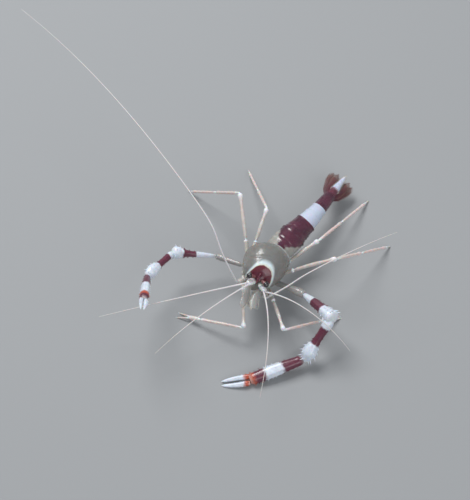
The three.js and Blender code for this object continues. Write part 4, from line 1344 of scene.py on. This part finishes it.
def ring_paint(first_red, widen):
    """Paint for a crimson ring. Its saddle starts first_red millimetres along; widen gives (distance
    along, degrees down each side) pairs that the saddle widens by, with an uneven edge. The marks are
    the distance along in millimetres, the angle from the back in degrees, and the ring's number."""

    def paint(tree):
        along, angle, _ = marked(tree)
        place = wired(tree, "ShaderNodeTexCoord").outputs["Object"]
        noise = wired(tree, "ShaderNodeTexNoise", {"Vector": place, "Scale": 620, "Detail": 4}).outputs[0]
        wobble = reckoned(tree, "SUBTRACT", noise, 0.5)
        (near, narrow), (far, wide) = widen
        bound = between(tree, along, near, far, float(narrow), float(wide))
        off = reckoned(tree, "ABSOLUTE", angle)
        past = reckoned(tree, "SUBTRACT", off, bound)
        past = reckoned(tree, "ADD", past, reckoned(tree, "MULTIPLY", wobble, 26))
        inside = between(tree, past, 5.0, -5.0)
        begun = reckoned(tree, "ADD", along, reckoned(tree, "MULTIPLY", wobble, 1.2))
        after = between(tree, begun, first_red - 0.25, first_red + 0.25)
        streak = wired(
            tree, "ShaderNodeTexNoise", {"Vector": place, "Scale": 260, "Detail": 5, "Distortion": 0.6}
        ).outputs[0]
        pigment = blended(tree, between(tree, streak, 0.38, 0.62), ring_red, ring_dark)
        return blended(tree, reckoned(tree, "MULTIPLY", inside, after), ring_glass, pigment)

    return paint


def white_ring_paint(tree):
    """White, dimmed and blued as painted shade, over the back and glassy on the belly, by the angle from the
    back.
    """
    _, angle, _ = marked(tree)
    down = [(0, shaded_ring_white), (70, shaded_ring_white), (112, (0.56, 0.56, 0.58)), (150, ring_glass)]
    return ramp(tree, reckoned(tree, "ABSOLUTE", angle), down, high=180.0)


def ring_finish(name, paint, grain=(0.3, 0.6, 0.16, 0.9), coat=0.45, rough=0.12, glow=0.15, alpha=1.0):
    """The finish of a ring: polished horn that light goes a little way into."""
    return finish(
        name, paint, grain=grain, bump=0.00006, Coat_Weight=coat, Coat_Roughness=rough,
        Subsurface_Weight=glow, Subsurface_Scale=0.002, Alpha=alpha,
    )


ring_finishes = [
    ring_finish("ring_collar", ring_paint(1.0, ((0.9, 19), (2.2, 24))), glow=0.3, alpha=0.93),
    ring_finish("ring_saddle", ring_paint(-1.5, ((0.2, 24), (5.6, 84)))),
    ring_finish("ring_saddle_wide", ring_paint(-1.5, ((0.0, 83), (6.6, 105)))),
    ring_finish("shaded_ring_white", white_ring_paint, (0.14, 0.6, 0.2, 0.9), coat=0.4, rough=0.15, glow=0.3),
    ring_finish("ring_tail", ring_paint(-1.5, ((0.0, 112), (6.0, 150))), (0.35, 0.6, 0.18, 0.9)),
]
ring_looks = [0, 1, 2, 3, 3, 4]
ring_slots = [
    "abdomen_clear", "abdomen_red", "abdomen_red", "abdomen_white", "abdomen_white", "abdomen_red"
]
paddle_edge = [(0, 0.25), (0.3, 0.7), (0.75, 0.62), (1, 0.06)]
paddle_finish = finish(
    "swimming_paddle", plain((0.60, 0.52, 0.46)), grain=(0.3, 0.3, 0.25, 1.0), Subsurface_Weight=0.4,
    Subsurface_Scale=0.001, Alpha=0.85,
)

for index in range(6):
    length, half_width = ring_table[index][:2]
    carry_ring = set_at(back_joints[index], back_joints[index + 1] - back_joints[index], leaning_up)
    round_it = np.linspace(-math.pi, math.pi, 96, endpoint=False)
    t, angle = np.meshgrid(np.linspace(0, 1, 46), round_it, indexing="ij")
    grid = ring_surface(index, t, angle)
    marks = np.stack([grid[..., 1], np.degrees(angle), 0 * t + index], -1)
    parts = [(skins(grid[None], marks[None]), 0)]
    shake = np.random.default_rng(50 + index)
    rows = max(2, int(length / 0.95))
    st, sa = np.meshgrid(np.linspace(0.3, 0.96, rows), np.radians(np.linspace(-98, 98, 15)), indexing="ij")
    st = st.ravel() + shake.uniform(-0.03, 0.02, st.size)
    sa = sa.ravel() + shake.uniform(-0.08, 0.08, st.size)
    roots = ring_surface(index, st, sa)
    out = np.stack([np.sin(sa), 0 * sa, np.cos(sa)], 1)
    root_marks = np.stack([roots[:, 1], np.degrees(sa), 0 * sa + index], 1)
    sizes = shake.uniform(0.25, 0.42, len(sa))
    prickled = thorns(roots, out * 0.55 + [0, 1.0, 0], sizes, 0.08, root_marks, sides=4)
    parts.append((prickled, 0))
    for hand in (-1, 1):
        angle_at = math.radians(128) * hand
        hem_t = np.array([0.5, 0.72, 0.9])
        hem = ring_surface(index, hem_t, np.full(3, angle_at))
        hem_marks = np.stack([hem[:, 1], np.full(3, 128.0), 0 * hem_t + index], 1)
        hem_spines = thorns(hem, [[0.2 * hand, 0.5, -1.0]] * 3, 0.5, 0.11, hem_marks)
        parts.append((hem_spines, 0))
    if index < 5:
        for hand in (-1, 1):
            for layer, (drop, size) in enumerate(((0.0, 1.0), (0.25, 0.85))):
                top, under, marks = leaf(3.3 * size, paddle_edge, paddle_edge, 0.16, rows=16, columns=9)
                hairs = fringe(top, under, 0.6, 0.55, 12)
                root = [hand * (half_width * 0.36 + drop), length * 0.5 - 0.4 + drop, -half_width * 0.30]
                hang_at = set_at(root, np.array([0.12 * hand, 0.55, -1.0]), np.array([0.0, 1.0, 0.55]))
                parts += carried(hang_at, (plate(top, under, marks), 1), (hairs, 1))
    make(f"abdomen_ring_{index + 1}", carried(carry_ring, *parts),
         [ring_finishes[ring_looks[index]], paddle_finish], ring_slots[index], f"abdomen_{index + 1}")

# ------------------------------------------------------------------ tail fan
# The narrow pointed tail plate, white past its crimson root, with two ridges and spines along it, and
# two broad ribbed blades on each side, crimson-brown with clearer edges, all fringed with hairs.


def telson_paint(tree):
    """Crimson at the root and white beyond, the white dimmed as painted shade, by the share of the length."""
    share, _, _ = marked(tree)
    lengthwise = [
        (0, ring_red), (0.33, (0.14, 0.04, 0.06)), (0.42, shaded_ring_white), (0.92, shaded_ring_white),
        (1.0, (0.80, 0.78, 0.76)),
    ]
    return ramp(tree, reckoned(tree, "ADD", share, ragged(tree, 700, 4, 0.12)), lengthwise)


def blade_paint(tree):
    """Crimson-brown that pales to the tip and rim: the share of the length, plus a little at the rim."""
    share, aside, _ = marked(tree)
    rim = reckoned(tree, "POWER", reckoned(tree, "ABSOLUTE", aside), 6.0)
    out = reckoned(tree, "ADD", share, reckoned(tree, "MULTIPLY", rim, 0.1))
    outwards = [
        (0, (0.105, 0.022, 0.042)), (0.55, (0.115, 0.034, 0.044)), (0.85, (0.15, 0.07, 0.065)),
        (1.02, (0.28, 0.22, 0.21)), (1.2, (0.40, 0.38, 0.39)),
    ]
    return ramp(tree, reckoned(tree, "ADD", out, ragged(tree, 800, 5, 0.35)), outwards, high=1.3)


telson_finish = finish("tail_plate", telson_paint, grain=(0.15, 0.5, 0.2, 1.0), bump=0.00005, Coat_Weight=0.4,
                       Subsurface_Weight=0.3, Subsurface_Scale=0.0015)
blade_finish = finish("tail_blade", blade_paint, grain=(0.3, 0.5, 0.22, 1.0), bump=0.00005, Coat_Weight=0.35,
                      Subsurface_Weight=0.2, Subsurface_Scale=0.0015, Alpha=0.86)
tail_fringe_finish = finish(
    "tail_fringe_hair", plain((0.26, 0.14, 0.12)), grain=(0.2, 0.3, 0.45, 1.4), bump=0.00001, Alpha=0.7
)
carry_fan = set_at(back_joints[6], back_joints[7] - back_joints[6], leaning_up)

telson_length = 9.9


def telson_marks(roots):
    """The marks of points on the tail plate: the share of its length, 0 and 0."""
    share = roots[:, 1] / telson_length
    return np.stack([share, 0 * share, 0 * share], 1)


spear = [(0, 1.12), (0.12, 1.3), (0.35, 1.2), (0.7, 0.76), (0.93, 0.38), (1, 0.06)]
top, under, marks = leaf(telson_length, spear, spear, 0.75, rib=0.16, curl=0.3, rows=60, columns=23)
hairs = fringe(top, under, 0.6, 1.1, 60, start=0.35)
spine_y = np.array([2.6, 4.2, 5.8, 7.4])
spine_x = np.array([0.55, 0.5, 0.42, 0.32])
spine_roots = np.concatenate([np.stack([hand * spine_x, spine_y, 0 * spine_y + 0.42], 1) for hand in (-1, 1)])
back_ways = spine_roots * [0.3, 0, 0] + [0, 1.0, 0.45]
back_spines = thorns(spine_roots, back_ways, 0.6, 0.13, telson_marks(spine_roots))
edge_roots = np.array([[1.0, 4.4, 0.0], [-1.0, 4.4, 0.0], [0.33, 9.4, 0.0], [-0.33, 9.4, 0.0]])
edge_ways = edge_roots * [0.5, 0, 0] + [0, 1.0, 0]
edge_spikes = thorns(edge_roots, edge_ways, 0.7, 0.12, telson_marks(edge_roots))
make(
    "tail_plate",
    carried(carry_fan, (plate(top, under, marks), 0), (back_spines, 0), (edge_spikes, 0), (hairs, 1)),
    [telson_finish, fringe_finish], "telson", "telson",
)

tail_layers = (("inner", 8, -0.75, 1.2, 9.0), ("outer", 17, -1.5, 1.36, 9.1))
straight_edge = [(0.15, 0.78), (0.5, 1.0), (0.82, 0.9), (0.95, 0.5)]
curved_edge = [(0.15, 0.7), (0.5, 1.02), (0.75, 0.95), (0.93, 0.55)]
for word, side in both_sides:
    for layer, turn_out, drop, wide, blade_length in tail_layers:
        straight = [(0, 0.4), *stout(wide, straight_edge), (1, 0.06)]
        curved = [(0, 0.4), *stout(wide, curved_edge), (1, 0.06)]
        edges = (curved, straight) if side > 0 else (straight, curved)
        top, under, marks = leaf(blade_length, *edges, 0.42, rib=0.14, curl=0.25, rows=52, columns=25)
        hairs = fringe(top, under, 0.75, 1.0, 74, start=0.3)
        spread = math.radians(turn_out)
        swung = set_at([side * 0.85, 0.1, drop], np.array([side * math.sin(spread), math.cos(spread), 0.0]),
                       np.array([0.0, 0.0, 1.0]))
        border = (top + under)[:, -1 if side > 0 else 0] / 2
        notch = np.arange(14, 46, 3)
        saw = thorns(border[notch], [[0.7 * side, 1.0, 0.0]] * len(notch), 0.34, 0.1,
                     np.stack([border[notch, 1] / blade_length, 0 * notch + 1.0, 0 * notch], 1), sides=4)
        stalk_root = rod([side * 0.55, -1.0, drop + 0.15], [side * 0.95, 0.9, drop],
                         [(0, 0.5), (0.5, 0.7), (1, 0.45)], marks=np.zeros((26, 3)))
        blade = carried(swung, (plate(top, under, marks), 0), (hairs, 1), (saw, 0))
        make(f"tail_blade_{layer}_{word}", carried(carry_fan, *blade, (stalk_root, 0)),
             [blade_finish, tail_fringe_finish], "tail_fan", f"tail_{layer}_{word}")
